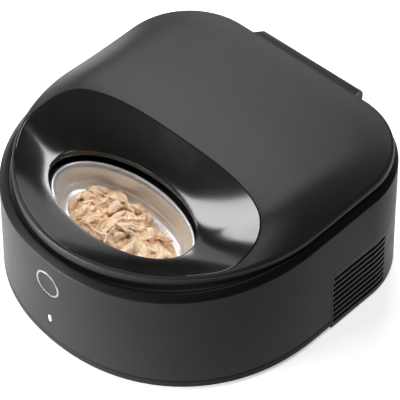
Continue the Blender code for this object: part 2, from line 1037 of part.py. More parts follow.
def chamber():
    top = shoulder_up - deck_drop
    rim = body_outline(shoulder_in + shoulder_flat + fit_gap)

    def around(radius):
        """Points of a circle about the spindle, at the bearings of the rim's points."""
        points = []
        for x, y in rim:
            bearing = math.atan2(y - carousel_back, x)
            points.append(
                (
                    radius * math.cos(bearing),
                    carousel_back + radius * math.sin(bearing),
                )
            )
        return points

    bore = bush_radius + fit_gap
    outer = well_radius + wall
    rings = [
        sloped(rim, top),
        sloped(around(well_radius), top),
        level(around(well_radius), well_floor),
        level(around(bore), well_floor),
        level(around(bore), well_under),
        level(around(outer), well_under),
        sloped(around(outer), top - wall),
        sloped(rim, top - wall),
    ]
    tub = loft("chamber_tub", rings, DARK, ring_shaped=True)
    combine(tub, hinge_notch("tub_hinge_notch"), "DIFFERENCE")
    jacket_in = outer + 2 * fit_gap
    jacket_out = jacket_in + insulation_thick
    jacket_top = seam_z(-front_depth) - insulation_top_gap
    floor_top = well_under - fit_gap
    jacket = turned(
        "insulation_jacket",
        [
            (jacket_out, jacket_top),
            (jacket_out, insulation_under),
            (bore, insulation_under),
            (bore, floor_top),
            (jacket_in, floor_top),
            (jacket_in, jacket_top),
        ],
        FOAM,
        insulation_steps,
        (0, carousel_back, 0),
    )
    window = (
        cold_plate_length + 2 * fit_gap,
        cold_plate_width + 2 * fit_gap,
        2 * insulation_thick + wall,
    )
    middle = (stack_x, stack_back, insulation_under + insulation_thick / 2)
    combine(jacket, box("jacket_window", window, middle), "DIFFERENCE")


def lid_rings():
    """The lid's rings from the scoop's outline out to its edge, under and back."""
    turns = bearings()
    inner = [scoop_point(turn) for turn in turns]
    top = [Vector((x, y, lid_height(x, y))) for x, y in inner]
    rings = [top]
    for depth, share in zip(rim_levels, rim_level_shares):
        ring = []
        for near, far in zip(inner, lid_edge_points):
            span = (Vector(far) - Vector(near)).length
            back = min(depth, share * span) / span
            x, y = mix(far, near, back)
            ring.append(Vector((x, y, lid_height(x, y))))
        rings.append(ring)
    rings.append([Vector((x, y, lid_height(x, y))) for x, y in lid_edge_points])
    rings.append([Vector((x, y, lid_bottom(y))) for x, y in lid_edge_points])
    skirt = lid_outline(lid_wall)
    rings.append([Vector((x, y, lid_bottom(y))) for x, y in skirt])
    rings.append([Vector((x, y, max(lid_height(x, y) - lid_wall, lid_bottom(y) + fit_gap))) for x, y in skirt])
    under = []
    for near, far in zip(inner, skirt):
        x, y = mix(far, near, 0.5)
        under.append(Vector((x, y, lid_height(x, y) - lid_wall)))
    rings.append(under)
    rings.append([point - Vector((0, 0, lid_wall)) for point in top])
    return rings


def hull(name, points):
    """The convex hull of points, as a helper for a Boolean."""
    data = bmesh.new()
    for point in points:
        data.verts.new(point)
    shape = bmesh.ops.convex_hull(data, input=data.verts)
    loose = [item for item in shape["geom_interior"] if isinstance(item, bmesh.types.BMVert)]
    bmesh.ops.delete(data, geom=loose, context="VERTS")
    return finish_mesh(name, data)


def lid_shell():
    shell = loft("lid_shell", lid_rings(), CHARCOAL, ring_shaped=True)
    lid_rear = rear_depth - lid_rear_inset
    steps = 32
    arc = []
    for i in range(steps):
        turn = 2 * math.pi * i / steps
        y = hinge_y + barrel_radius * math.cos(turn)
        arc.append((y, hinge_z + barrel_radius * math.sin(turn)))
    root = [
        (lid_rear - 2 * roll_in, lid_height(0, lid_rear - 2 * roll_in) - roll_in),
        (lid_rear - roll_in, lid_height(0, lid_rear - roll_in) - roll_in),
        (lid_rear - roll_in, lid_height(0, lid_rear - roll_in) - roll_in - roll_rear),
    ]
    wing_low = hinge_z + barrel_radius * barrel_wing_share
    wing = [point for point in arc if point[1] > wing_low and point[0] > hinge_y]
    barrel = hull(
        "hinge_barrel",
        [(side * barrel_half_length, y, z) for side in (-1, 1) for y, z in arc + root],
    )
    wings = hull(
        "hinge_wings",
        [(side * barrel_half_length, y, z) for side in (-1, 1) for y, z in wing]
        + [(side * (barrel_half_length + barrel_flare), y, z) for side in (-1, 1) for y, z in root],
    )
    combine(shell, barrel, "UNION")
    combine(shell, wings, "UNION")
    for side in (-1, 1):
        start = pin_centre() - pin_length / 2 - fit_gap
        bore = cylinder(
            f"barrel_bore_{side}",
            pin_radius + fit_gap,
            (side * start, hinge_y, hinge_z),
            (side * (barrel_half_length + cut_overrun), hinge_y, hinge_z),
            steps=16,
        )
        combine(shell, bore, "DIFFERENCE")
    for side, name in ((-1, "left"), (1, "right")):
        cylinder(
            f"hinge_pin_{name}",
            pin_radius,
            (side * (pin_centre() - pin_length / 2), hinge_y, hinge_z),
            (side * (pin_centre() + pin_length / 2), hinge_y, hinge_z),
            STEEL,
            16,
        )


def scoop_surface(bearing, share, drop=0.0):
    """A point on the scoop, from its hole (0) out to the lid's surface (1)."""
    x, y = mix(hole_point(bearing), scoop_point(bearing, seam_gap), share)
    edge_x, edge_y = scoop_point(bearing, seam_gap)
    top = lid_height(edge_x, edge_y)
    height = hole_height + (top - hole_height) * share**scoop_dish
    return Vector((x, y, height - drop))


def scoop_insert():
    turns = bearings()
    rings = [[scoop_surface(turn, share) for turn in turns] for share in scoop_shares]
    collar = hole_height - collar_height
    rings.append([Vector((*hole_point(turn), collar)) for turn in turns])
    rings.append([Vector((*hole_point(turn, -scoop_sheet), collar)) for turn in turns])
    for share in scoop_under_shares:
        rings.append([scoop_surface(turn, share, scoop_sheet) for turn in turns])
    loft("scoop_insert", rings, GLOSS, ring_shaped=True)


def lid_ring_outline(inset, rear):
    """The lid's plan drawn in by an inset, with its rear brought forward."""
    return outline(
        body_half_width - lid_side_inset - inset,
        front_depth - lid_front_inset - inset,
        rear,
        liner_corner,
        lid_power,
    )


def lid_inside():
    """The liner that closes the lid from below, and the seal under it."""
    rise = shoulder_up + lid_gap + fit_gap
    outer = lid_ring_outline(lid_wall + 2 * seam_gap, liner_rear)
    turns = bearings()
    inner = [
        mix(hole_point(turn), scoop_point(turn, seam_gap), liner_share) for turn in turns
    ]
    loft(
        "lid_liner",
        [
            sloped(outer, rise + liner_thick),
            sloped(outer, rise),
            sloped(inner, rise),
            sloped(inner, rise + liner_thick),
        ],
        DARK,
        ring_shaped=True,
    )
    top = rise - fit_gap
    bottom = shoulder_up - deck_drop + fit_gap
    seal_out = lid_ring_outline(seal_inset, liner_rear - seal_margin)
    seal_in = lid_ring_outline(seal_inset + seal_width, liner_rear - seal_margin - seal_width)
    loft(
        "lid_seal",
        [
            sloped(seal_out, top),
            sloped(seal_out, bottom),
            sloped(seal_in, bottom),
            sloped(seal_in, top),
        ],
        RUBBER,
        ring_shaped=True,
    )


def bowl(number):
    """One oval bowl. Its origin is on the spindle's axis, and the bowl lies at -Y."""
    def oval(inset, height):
        return ellipse(
            bowl_half_length - inset,
            bowl_half_width - inset,
            height,
            bowl_steps,
            -bowl_pitch,
        )

    floor = bowl_top - bowl_depth
    wall_in = bowl_bead
    wall_out = bowl_bead - bowl_sheet
    low = wall_in + bowl_draft
    bend = bowl_fillet * bowl_bend_share
    rings = [
        oval(low + bowl_fillet, floor),
        oval(low + bend, floor + bend),
        oval(low, floor + bowl_fillet),
        oval(wall_in, bowl_top - bead_round),
        oval(wall_in - bead_round, bowl_top),
        oval(bead_round, bowl_top),
        oval(0, bowl_top - bead_round),
        oval(0, bowl_top - bead_height),
        oval(wall_out, bowl_top - bead_height),
        oval(low - bowl_sheet, floor + bowl_fillet),
        oval(low + bend - bowl_sheet, floor + bend - bowl_sheet),
        oval(low + bowl_fillet, floor - bowl_sheet),
    ]
    made = loft(f"bowl_{number}", rings, STEEL)
    made.location = (0, carousel_back, 0)
    made.rotation_euler = (0, 0, 2 * math.pi * (number - 1) / bowl_count)


def food_portion():
    floor = bowl_top - bowl_depth
    low = bowl_bead + bowl_draft + bowl_fillet + food_clearance

    def heap(i, share, height):
        """A ring of the heap's top, with lumps that follow the bearing."""
        turn = 2 * math.pi * i / food_steps
        wave = math.sin(food_waves * turn + food_wave_lead * share)
        wave += food_ripple_share * math.sin(food_ripples * turn - food_ripple_lag * share)
        x = (bowl_half_length - low) * share * math.cos(turn)
        y = (bowl_half_width - low) * share * math.sin(turn) - bowl_pitch
        lean = -food_left_share * x
        return Vector((x, y, floor + height + lean + food_lump * wave * share))

    half_length = bowl_half_length - low
    half_width = bowl_half_width - low
    rings = [ellipse(half_length, half_width, floor + fit_gap, food_steps, -bowl_pitch)]
    for share in food_ring_shares:
        height = food_depth * (1 - food_round_share * share**food_round_power)
        rings.append([heap(i, share, height) for i in range(food_steps)])
    made = loft("food_portion", rings, FOOD)
    made.location = (0, carousel_back, 0)


def carousel():
    plate_opening = (
        bowl_half_length - bowl_bead + bowl_sheet + fit_gap,
        bowl_half_width - bowl_bead + bowl_sheet + fit_gap,
    )
    outlines = [circle(tray_radius, 64)]
    for number in range(bowl_count):
        turn = 2 * math.pi * number / bowl_count
        oval = []
        for point in ellipse(*plate_opening, 0, bowl_steps, -bowl_pitch):
            x, y = point.x, point.y
            oval.append(
                (
                    x * math.cos(turn) - y * math.sin(turn),
                    x * math.sin(turn) + y * math.cos(turn),
                )
            )
        outlines.append(oval)
    outlines.append(circle(spindle_bore, 20))
    tray = flat(
        "carousel_tray",
        outlines,
        tray_plate,
        DARK,
        (0, carousel_back, tray_top - tray_plate / 2),
    )
    hub = turned(
        "tray_hub",
        [
            (tray_hub_radius, tray_top - tray_plate / 2),
            (tray_hub_radius, well_floor + bush_flange_height + 2 * fit_gap),
            (spindle_bore, well_floor + bush_flange_height + 2 * fit_gap),
            (spindle_bore, tray_top - tray_plate / 2),
        ],
        None,
        20,
        (0, carousel_back, 0),
    )
    combine(tray, hub, "UNION")
    turned(
        "spindle",
        [
            (0, tray_top - fit_gap),
            (spindle_radius, tray_top - fit_gap),
            (spindle_radius, spindle_bottom),
            (0, spindle_bottom),
        ],
        STEEL,
        20,
        (0, carousel_back, 0),
    )
    turned(
        "spindle_bush",
        [
            (bush_radius + bush_flange, well_floor + fit_gap + bush_flange_height),
            (bush_radius + bush_flange, well_floor + fit_gap),
            (bush_radius, well_floor + fit_gap),
            (bush_radius, well_under),
            (spindle_bore, well_under),
            (spindle_bore, well_floor + fit_gap + bush_flange_height),
        ],
        WHITE_PLASTIC,
        20,
        (0, carousel_back, 0),
    )
    for number in range(1, bowl_count + 1):
        bowl(number)
    food_portion()


def gear_outline(teeth, start):
    """Straight-flanked teeth about the gear's own centre."""
    pitch_radius = gear_module * teeth / 2
    root = pitch_radius - gear_module * tooth_dedendum_share
    tip = pitch_radius + gear_module * tooth_addendum_share
    step = 2 * math.pi / teeth
    points = []
    for tooth in range(teeth):
        middle = start + tooth * step
        for radius, share in (
            (root, -tooth_root_share),
            (tip, -tooth_tip_share),
            (tip, tooth_tip_share),
            (root, tooth_root_share),
        ):
            turn = middle + step / 2 * share
            points.append((radius * math.cos(turn), radius * math.sin(turn)))
    return points


def drive():
    middle = gear_bottom + gear_thick / 2
    flat(
        "carousel_gear",
        [gear_outline(gear_teeth, 0), circle(spindle_bore, 20)],
        gear_thick,
        WHITE_PLASTIC,
        (0, carousel_back, middle),
    )
    pinion = flat(
        "motor_pinion",
        [gear_outline(pinion_teeth, math.pi / pinion_teeth)],
        gear_thick,
        WHITE_PLASTIC,
        (-gear_centres, carousel_back, middle),
    )
    shaft = cylinder(
        "pinion_shaft",
        motor_shaft_radius,
        (-gear_centres, carousel_back, gear_bottom - motor_gap - motor_bore_depth + fit_gap),
        (-gear_centres, carousel_back, middle),
        steps=16,
    )
    combine(pinion, shaft, "UNION")
    low = motor_bottom()
    high = low + motor_height
    turned(
        "gear_motor",
        [
            (0, high - motor_bore_depth),
            (motor_shaft_radius + fit_gap, high - motor_bore_depth),
            (motor_shaft_radius + fit_gap, high),
            (motor_radius, high),
            (motor_radius, low),
            (0, low),
        ],
        STEEL,
        24,
        (-gear_centres, carousel_back, 0),
    )


def cooling():
    plate_thick = insulation_thick - module_thick - fit_gap
    plate_top = well_under - fit_gap
    box(
        "cold_plate",
        (cold_plate_length, cold_plate_width, plate_thick),
        (stack_x, stack_back, plate_top - plate_thick / 2),
        ALUMINIUM,
    )
    box(
        "thermoelectric_module",
        (module_side, module_side, module_thick),
        (stack_x, stack_back, insulation_under + module_thick / 2),
        WHITE_PLASTIC,
    )
    fan_x = fan_front()
    start_x = stack_x - cold_plate_length / 2
    fan_bottom = base_inner + fit_gap
    fin_bottom = fan_bottom + sink_foot_gap
    pitch = (fan_side - sink_fin) / (sink_fins - 1)
    points = [(fan_side / 2, sink_top), (-fan_side / 2, sink_top)]
    root = sink_top - sink_base
    for fin in range(sink_fins):
        left = fin * pitch - fan_side / 2
        right = left + sink_fin
        if fin > 0:
            points.append((left, root))
        points.append((left, fin_bottom))
        points.append((right, fin_bottom))
        if fin < sink_fins - 1:
            points.append((right, root))
    length = fan_x - fit_gap - start_x
    flat(
        "heat_sink",
        [points],
        length,
        ALUMINIUM,
        (start_x + length / 2, stack_back, 0),
        (math.pi / 2, 0, math.pi / 2),
    )
    fan(fan_x, fan_bottom + fan_side / 2)


def fan_front():
    """The fan's inner face, set against the vented wall."""
    return body_half_width - wall - fan_wall_gap - fan_thick


def fan(fan_x, middle_z):
    half = fan_side / 2
    inner = half - fan_corner
    square = []
    for i, (sx, sy) in enumerate(((1, 1), (-1, 1), (-1, -1), (1, -1))):
        for j in range(5):
            turn = math.pi / 2 * (i + j / 4)
            square.append(
                (
                    sx * inner + fan_corner * math.cos(turn),
                    sy * inner + fan_corner * math.sin(turn),
                )
            )
    centre = (fan_x + fan_thick / 2, stack_back, middle_z)
    housing = flat(
        "fan_frame",
        [square, circle(fan_bore_radius, 32)],
        fan_thick,
        DARK,
        centre,
        (math.pi / 2, 0, math.pi / 2),
    )
    plate_end = fan_x + fan_plate
    disc = cylinder(
        "fan_disc",
        fan_hub_radius,
        (fan_x, stack_back, middle_z),
        (plate_end, stack_back, middle_z),
        steps=20,
    )
    bar_x = fan_x + fan_plate / 2
    reach = 2 * fan_bore_radius + fan_strut / 2
    bar_thick = fan_plate * strut_thick_share
    post_thick = bar_thick * strut_thick_share
    bar = box("fan_strut_flat", (bar_thick, reach, fan_strut), (bar_x, stack_back, middle_z))
    post = box("fan_strut_tall", (post_thick, fan_strut, reach), (bar_x, stack_back, middle_z))
    for piece in (disc, bar, post):
        combine(housing, piece, "UNION")
    hub_start = plate_end + fit_gap
    hub_end = fan_x + fan_thick - fit_gap
    rotor = cylinder(
        "fan_rotor",
        fan_hub_radius,
        (hub_start, stack_back, middle_z),
        (hub_end, stack_back, middle_z),
        DARK,
        20,
    )
    tip = fan_bore_radius - fan_tip_gap
    root = fan_hub_radius / 2
    data = bmesh.new()
    for blade in range(fan_blades):
        turn = 2 * math.pi * blade / fan_blades
        place = (
            Matrix.Rotation(turn, 4, "X")
            @ Matrix.Translation((0, (tip + root) / 2, 0))
            @ Matrix.Rotation(fan_blade_pitch, 4, "Y")
        )
        size = Matrix.Diagonal((fan_blade_chord, tip - root, fan_blade_thick, 1.0))
        bmesh.ops.create_cube(data, size=1.0, matrix=place @ size)
    blades = finish_mesh("fan_blades", data)
    blades.location = ((hub_start + hub_end) / 2, stack_back, middle_z)
    combine(rotor, blades, "UNION")


def front_controls():
    back = math.pi / 2
    button_face = front_at(button_height)
    face = (0, -button_face, button_height)
    travel_room = button_travel + fit_gap
    ring_back = -ring_depth
    flange_back = -(button_cap + button_flange_height)
    turned(
        "button_ring",
        [
            (ring_radius - ring_bevel, 0),
            (ring_radius, -ring_bevel),
            (ring_radius, ring_back),
            (flange_radius + fit_gap, ring_back),
            (flange_radius + fit_gap, -button_cap + fit_gap),
            (button_bore, -button_cap + fit_gap),
            (button_bore, -ring_bevel),
            (button_bore + ring_bevel, 0),
        ],
        STEEL,
        40,
        face,
        (back, 0, 0),
    )
    stem_end = button_face + board_face - switch_thick - travel_room - fit_gap
    turned(
        "button_cap",
        [
            (0, -button_dish),
            (button_radius - ring_bevel, 0),
            (button_radius, -ring_bevel),
            (button_radius, -button_cap),
            (flange_radius, -button_cap),
            (flange_radius, flange_back),
            (button_stem_radius, flange_back),
            (button_stem_radius, -stem_end),
            (0, -stem_end),
        ],
        CHARCOAL,
        40,
        face,
        (back, 0, 0),
    )
    lens_length = front_at(lamp_height) + board_face - light_thick - 2 * fit_gap
    lens_middle = lens_length / 2 - front_at(lamp_height)
    lamp_slot("status_light_pipe", 0, lens_length, LAMP, lens_middle)
    height = button_height - lamp_height + 2 * front_board_margin
    box(
        "front_board",
        (front_board_width, board_thick, height),
        (0, board_face + board_thick / 2, (button_height + lamp_height) / 2),
        BOARD_GREEN,
    )
    box(
        "button_switch",
        (switch_side, switch_thick, switch_side),
        (0, board_face - fit_gap - switch_thick / 2, button_height),
        DARK,
    )
    box(
        "status_light_source",
        (light_side, light_thick, light_side),
        (0, board_face - fit_gap - light_thick / 2, lamp_height),
        LAMP,
    )


def control_electronics():
    bottom = base_inner + control_rise
    box(
        "control_board",
        (control_width, control_depth, board_thick),
        (0, -control_forward, bottom + board_thick / 2),
        BOARD_GREEN,
    )
    surface = bottom + board_thick + fit_gap
    box(
        "driver_chip",
        (chip_side, chip_side, chip_thick),
        (control_width * chip_x_share, -control_forward, surface + chip_thick / 2),
        DARK,
    )
    x = control_width * capacitor_x_share
    cylinder(
        "supply_capacitor",
        capacitor_radius,
        (x, -control_forward, surface),
        (x, -control_forward, surface + capacitor_height),
        ALUMINIUM,
        16,
    )


build_base()
body_shell()
vent_panel()
chamber()
carousel()
drive()
cooling()
front_controls()
control_electronics()
lid_shell()
scoop_insert()
lid_inside()
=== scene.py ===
"""The looks of the chilled wet-food dispenser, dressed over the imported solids."""

import math
import random

import bmesh
import bpy
import numpy as np
from mathutils import Matrix, Vector, noise


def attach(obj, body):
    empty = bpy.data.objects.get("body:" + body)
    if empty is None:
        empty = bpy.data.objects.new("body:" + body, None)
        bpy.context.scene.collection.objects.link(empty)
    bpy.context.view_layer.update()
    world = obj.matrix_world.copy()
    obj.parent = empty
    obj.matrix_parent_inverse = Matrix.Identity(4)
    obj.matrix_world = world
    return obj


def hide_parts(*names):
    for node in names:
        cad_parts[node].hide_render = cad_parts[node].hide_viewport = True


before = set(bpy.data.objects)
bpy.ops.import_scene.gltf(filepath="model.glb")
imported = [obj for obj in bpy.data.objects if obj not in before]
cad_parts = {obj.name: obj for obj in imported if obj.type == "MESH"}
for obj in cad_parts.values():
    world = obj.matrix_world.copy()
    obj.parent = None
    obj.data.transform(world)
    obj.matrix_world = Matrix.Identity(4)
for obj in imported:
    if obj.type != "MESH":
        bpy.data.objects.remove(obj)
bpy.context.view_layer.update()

MM = 0.001

# Sizes in millimetres of the housing, lid, scoop, bowls and hinge, from the centre of
# the front arc
HALF_WIDTH, FRONT, REAR, CORNER = 160.0, 169.3, 168.0, 88.5
FRONT_POWER = 2.15
SIDE_FLARE, FRONT_FLARE, REAR_FLARE = 10.0, 2.5, 0.5
SEAM, SLOPE = 116.3, 0.033
LID_HALF, LID_FRONT, LID_REAR, LID_CORNER = 155.0, 160.8, 158.1, 76.0
LID_POWER = 1.94
LID_EDGE, LID_REAR_RISE = 128.3, 6.5
LID_SHEET = 1.6
ROLL_IN, ROLL_FRONT, ROLL_REAR = 3.5, 2.0, 6.0
DOME_RISE, DOME_WIDTH = 17.0, 40.0
SCOOP_HALF, SCOOP_FORWARD, SCOOP_REAR = 132.0, 67.0, 62.5
SCOOP_FRONT_POWER, SCOOP_REAR_POWER = 1.7, 3.0
SCOOP_RIM, SCOOP_DISH = 2.4, 1.25
SCOOP_FRONT = LID_FRONT - SCOOP_RIM - SCOOP_FORWARD
SCOOP_SHEET = 2.2
SPINDLE_Y, BOWL_PITCH = 2.0, 81.3
BOWL_A, BOWL_B, BOWL_TOP, BOWL_DEPTH = 81.8, 44.4, 106.3, 29.0
HOLE_MARGIN, COLLAR = 0.9, 6.5
HOLE_LENGTH, HOLE_WIDTH = BOWL_A + HOLE_MARGIN, BOWL_B + HOLE_MARGIN
HOLE_Y, HOLE_Z = SPINDLE_Y - BOWL_PITCH, 118.3
HINGE_Y, HINGE_Z, BARREL, BARREL_HALF = REAR - 4.3, 121.0, 14.0, 61.5
HINGE_ROOM = 1.6
BASE_EDGE = 5.0
BUTTON_Z, BUTTON_HOLE = 81.4, 14.8
LAMP_Z, LAMP_RADIUS, LAMP_HALF, LAMP_GAP = 35.9, 1.3, 4.0, 0.25

# The vent panel's outline from the side, and its slots
VENT_FRONT, VENT_BACK, VENT_LOW, VENT_TOP, VENT_CORNER = 21, 190, -10, 71, 12
VENT_GAP, PANEL_LOW, PANEL_HIGH, PANEL_SHEET = 0.6, 2.3, 75, 2.5
SLOT_COUNT, SLOT_FIRST, SLOT_PITCH, SLOT_HEIGHT = 9, 7.5, 6.6, 3.8
SLOT_START, SLOT_END, SLOT_BEND_FROM, SLOT_BEND = 24, 98, 59, 24

# How far the cutters reach: across the housing, and ahead of and behind a wall
CUTTER_REACH, CUT_AHEAD, CUT_BEHIND = 200, 6, 8

# Where the food lies: its floor and its half sizes there
FOOD_FLOOR = BOWL_TOP - BOWL_DEPTH + 0.4
FOOD_HALF_X, FOOD_HALF_Y = 66, 30

TINY, SLACK = 1e-12, 1e-6

# The model's origin is the middle of its footprint
SHIFT_MM = (FRONT + FRONT_FLARE * (1 - BASE_EDGE / SEAM) - HINGE_Y - BARREL) / 2
SHIFT = SHIFT_MM * MM


def plan_parameters(count):
    """Curve parameters that space the housing's outline evenly."""
    dense = []
    for i in range(1200):
        dense.append((0, math.pi * i / 1200))
    for i in range(160):
        dense.append((1, i / 160))
    for i in range(300):
        dense.append((2, math.pi / 2 * i / 300))
    for i in range(280):
        dense.append((3, i / 280))
    for i in range(300):
        dense.append((4, math.pi / 2 * (1 - i / 300)))
    for i in range(160):
        dense.append((5, i / 160))
    kinds = np.array([d[0] for d in dense])
    values = np.array([d[1] for d in dense])
    points = plan(kinds, values, HALF_WIDTH, FRONT, REAR, CORNER, FRONT_POWER)
    steps = np.linalg.norm(np.roll(points, -1, axis=0) - points, axis=1)
    run = np.concatenate([[0], np.cumsum(steps)])
    wanted = np.linspace(0, run[-1], count, endpoint=False)
    index = np.searchsorted(run, wanted, side="right") - 1
    return kinds[index], values[index]


def signed_power(value, power):
    return np.sign(value) * np.abs(value) ** (2 / power)


def plan(kinds, values, half, front, rear, corner, power):
    """The rounded front, straight sides and rounded rear corners, at parameters."""
    x = np.zeros(len(kinds))
    y = np.zeros(len(kinds))
    side_end = rear - corner
    rear_end = half - corner
    m = kinds == 0
    x[m] = half * signed_power(np.cos(values[m]), power)
    y[m] = -front * signed_power(np.sin(values[m]), power)
    m = kinds == 1
    x[m] = -half
    y[m] = side_end * values[m]
    m = kinds == 2
    x[m] = -rear_end - corner * np.cos(values[m])
    y[m] = side_end + corner * np.sin(values[m])
    m = kinds == 3
    x[m] = rear_end * (2 * values[m] - 1)
    y[m] = rear
    m = kinds == 4
    x[m] = rear_end + corner * np.cos(values[m])
    y[m] = side_end + corner * np.sin(values[m])
    m = kinds == 5
    x[m] = half
    y[m] = side_end * (1 - values[m])
    return np.stack([x, y], axis=1)


COUNT = 400
KINDS, VALUES = plan_parameters(COUNT)


def front_at(height):
    """How far forward the front wall stands at a height."""
    return FRONT + FRONT_FLARE * max(0.0, 1 - height / SEAM)


def body_plan(inset, height):
    flare = max(0.0, 1 - height / SEAM)
    return plan(
        KINDS,
        VALUES,
        HALF_WIDTH + SIDE_FLARE * flare - inset,
        FRONT + FRONT_FLARE * flare - inset,
        REAR + REAR_FLARE * flare - inset,
        CORNER - inset,
        FRONT_POWER,
    )


def lid_plan(inset=0.0):
    return plan(
        KINDS,
        VALUES,
        LID_HALF - inset,
        LID_FRONT - inset,
        LID_REAR - inset,
        LID_CORNER - inset,
        LID_POWER,
    )


LID_PLAN = lid_plan()


def edge_distance(points, edge):
    """The distance of each point from the closed outline."""
    a = edge
    b = np.roll(edge, -1, axis=0)
    along = b - a
    squared = (along**2).sum(axis=1) + TINY
    best = np.full(len(points), np.inf)
    for start in range(0, len(points), 2000):
        chunk = points[start : start + 2000]
        away = chunk[:, None, :] - a[None]
        share = np.clip((away * along[None]).sum(axis=2) / squared[None], 0, 1)
        near = away - share[..., None] * along[None]
        best[start : start + 2000] = np.sqrt((near**2).sum(axis=2)).min(axis=1)
    return best


def rearward(y):
    share = np.clip(y / LID_REAR, 0, 1)
    return share * share * (3 - 2 * share)


def lid_height(points):
    inward = edge_distance(points, LID_PLAN)
    rear = rearward(points[:, 1])
    roll = ROLL_FRONT + (ROLL_REAR - ROLL_FRONT) * rear
    within = 1 - np.minimum(inward / ROLL_IN, 1)
    rolled = roll * np.sqrt(1 - within * within)
    away = 1 - np.minimum(inward / DOME_WIDTH, 1)
    ahead = np.clip(1 + points[:, 1] / FRONT, 0, 1)
    lift = (ahead * ahead * (3 - 2 * ahead)) ** 2
    dome = DOME_RISE * lift * (1 - rear) * (1 - away * away)
    return LID_EDGE + LID_REAR_RISE * rear + rolled + dome


BEARINGS = np.arctan2(LID_PLAN[:, 1] + SCOOP_FORWARD, LID_PLAN[:, 0])


def reach_to(edge, bearings):
    """How far a closed outline lies from the scoop's centre at each bearing."""
    centre = np.array([0, -SCOOP_FORWARD])
    a = edge - centre
    along = np.roll(edge, -1, axis=0) - centre - a
    toward = np.stack([np.cos(bearings), np.sin(bearings)], axis=1)
    cross = toward[:, None, 0] * along[None, :, 1] - toward[:, None, 1] * along[None, :, 0]
    cross = np.where(np.abs(cross) < TINY, TINY, cross)
    share = (a[None, :, 0] * toward[:, None, 1] - a[None, :, 1] * toward[:, None, 0]) / cross
    reach = (a[:, 0] * along[:, 1] - a[:, 1] * along[:, 0])[None] / cross
    good = (share > -SLACK) & (share < 1 + SLACK) & (reach > 0)
    return np.where(good, reach, np.inf).min(axis=1)


def scoop_plan(bearings, inset=0.0):
    behind = np.sin(bearings) > 0
    power = np.where(behind, SCOOP_REAR_POWER, SCOOP_FRONT_POWER)
    depth = np.where(behind, SCOOP_REAR, SCOOP_FRONT) - inset
    across = np.abs(np.cos(bearings)) / (SCOOP_HALF - inset)
    along = np.abs(np.sin(bearings)) / depth
    reach = (across**power + along**power) ** (-1 / power)
    limit = reach_to(lid_plan(SCOOP_RIM + inset), bearings)
    reach = np.minimum(reach, limit)
    return np.stack(
        [reach * np.cos(bearings), reach * np.sin(bearings) - SCOOP_FORWARD], axis=1
    )


def hole_plan(bearings, inset=0.0):
    return np.stack(
        [
            (HOLE_LENGTH - inset) * np.cos(bearings),
            HOLE_Y + (HOLE_WIDTH - inset) * np.sin(bearings),
        ],
        axis=1,
    )


def ring(points, z):
    """Points in millimetres with heights, as an array."""
    z = np.broadcast_to(z, (len(points),))
    return np.column_stack([points, z])


# Mesh helpers


def mesh_object(name, data, smooth_angle=35):
    mesh = bpy.data.meshes.new(name)
    bmesh.ops.recalc_face_normals(data, faces=data.faces)
    data.to_mesh(mesh)
    data.free()
    made = bpy.data.objects.new(name, mesh)
    bpy.context.scene.collection.objects.link(made)
    mesh.shade_smooth()
    mesh.set_sharp_from_angle(angle=math.radians(smooth_angle))
    return made


def rows_mesh(rows, ring_shaped=False):
    """A bmesh through rows of points in millimetres, in the plan's own frame."""
    data = bmesh.new()
    made = []
    for row in rows:
        made.append([data.verts.new((p[0] * MM, p[1] * MM + SHIFT, p[2] * MM)) for p in row])
    pairs = list(zip(made, made[1:]))
    if ring_shaped:
        pairs.append((made[-1], made[0]))
    for low, high in pairs:
        count = len(low)
        for i in range(count):
            j = (i + 1) % count
            data.faces.new((low[i], low[j], high[j], high[i]))
    if not ring_shaped:
        data.faces.new(made[0])
        data.faces.new(list(reversed(made[-1])))
    return data


def rounded(profile, steps=4):
    """Profile corners (inset, height, slope, radius) rounded by short arcs."""
    count = len(profile)
    points = []
    for i, (inset, height, slope, radius) in enumerate(profile):
        here = np.array([inset, height, slope], dtype=float)
        if radius <= 0:
            points.append(here)
            continue
        before = np.array(profile[i - 1][:3], dtype=float)
        after = np.array(profile[(i + 1) % count][:3], dtype=float)
        back = before - here
        on = after - here
        reach_back = min(radius, 0.45 * np.linalg.norm(back[:2]))
        reach_on = min(radius, 0.45 * np.linalg.norm(on[:2]))
        start = here + back / np.linalg.norm(back[:2]) * reach_back
        end = here + on / np.linalg.norm(on[:2]) * reach_on
        for k in range(steps + 1):
            t = k / steps
            points.append((1 - t) ** 2 * start + 2 * t * (1 - t) * here + t * t * end)
    return points


def body_rows(profile):
    rows = []
    for inset, height, slope in rounded(profile):
        points = body_plan(inset, height)
        rows.append(ring(points, height + slope * SLOPE * points[:, 1]))
    return rows


def boolean(target, other, operation="DIFFERENCE"):
    """Applies a Boolean with a helper, then removes the helper."""
    step = target.modifiers.new("cut", "BOOLEAN")
    step.operation = operation
    step.solver = "EXACT"
    step.object = other
    bpy.context.view_layer.update()
    graph = bpy.context.evaluated_depsgraph_get()
    result = bpy.data.meshes.new_from_object(target.evaluated_get(graph))
    target.modifiers.remove(step)
    old = target.data
    target.data = result
    result.name = target.name
    bpy.data.meshes.remove(old)
    bpy.data.objects.remove(other, do_unlink=True)


def smooth(target, angle):
    target.data.shade_smooth()
    target.data.set_sharp_from_angle(angle=math.radians(angle))


def block(name, low, high):
    data = bmesh.new()
    size = [(b - a) * MM for a, b in zip(low, high)]
    middle = [(a + b) / 2 * MM for a, b in zip(low, high)]
    middle[1] += SHIFT
    bmesh.ops.create_cube(
        data, size=1.0, matrix=Matrix.Translation(middle) @ Matrix.Diagonal((*size, 1.0))
    )
    return mesh_object(name, data)


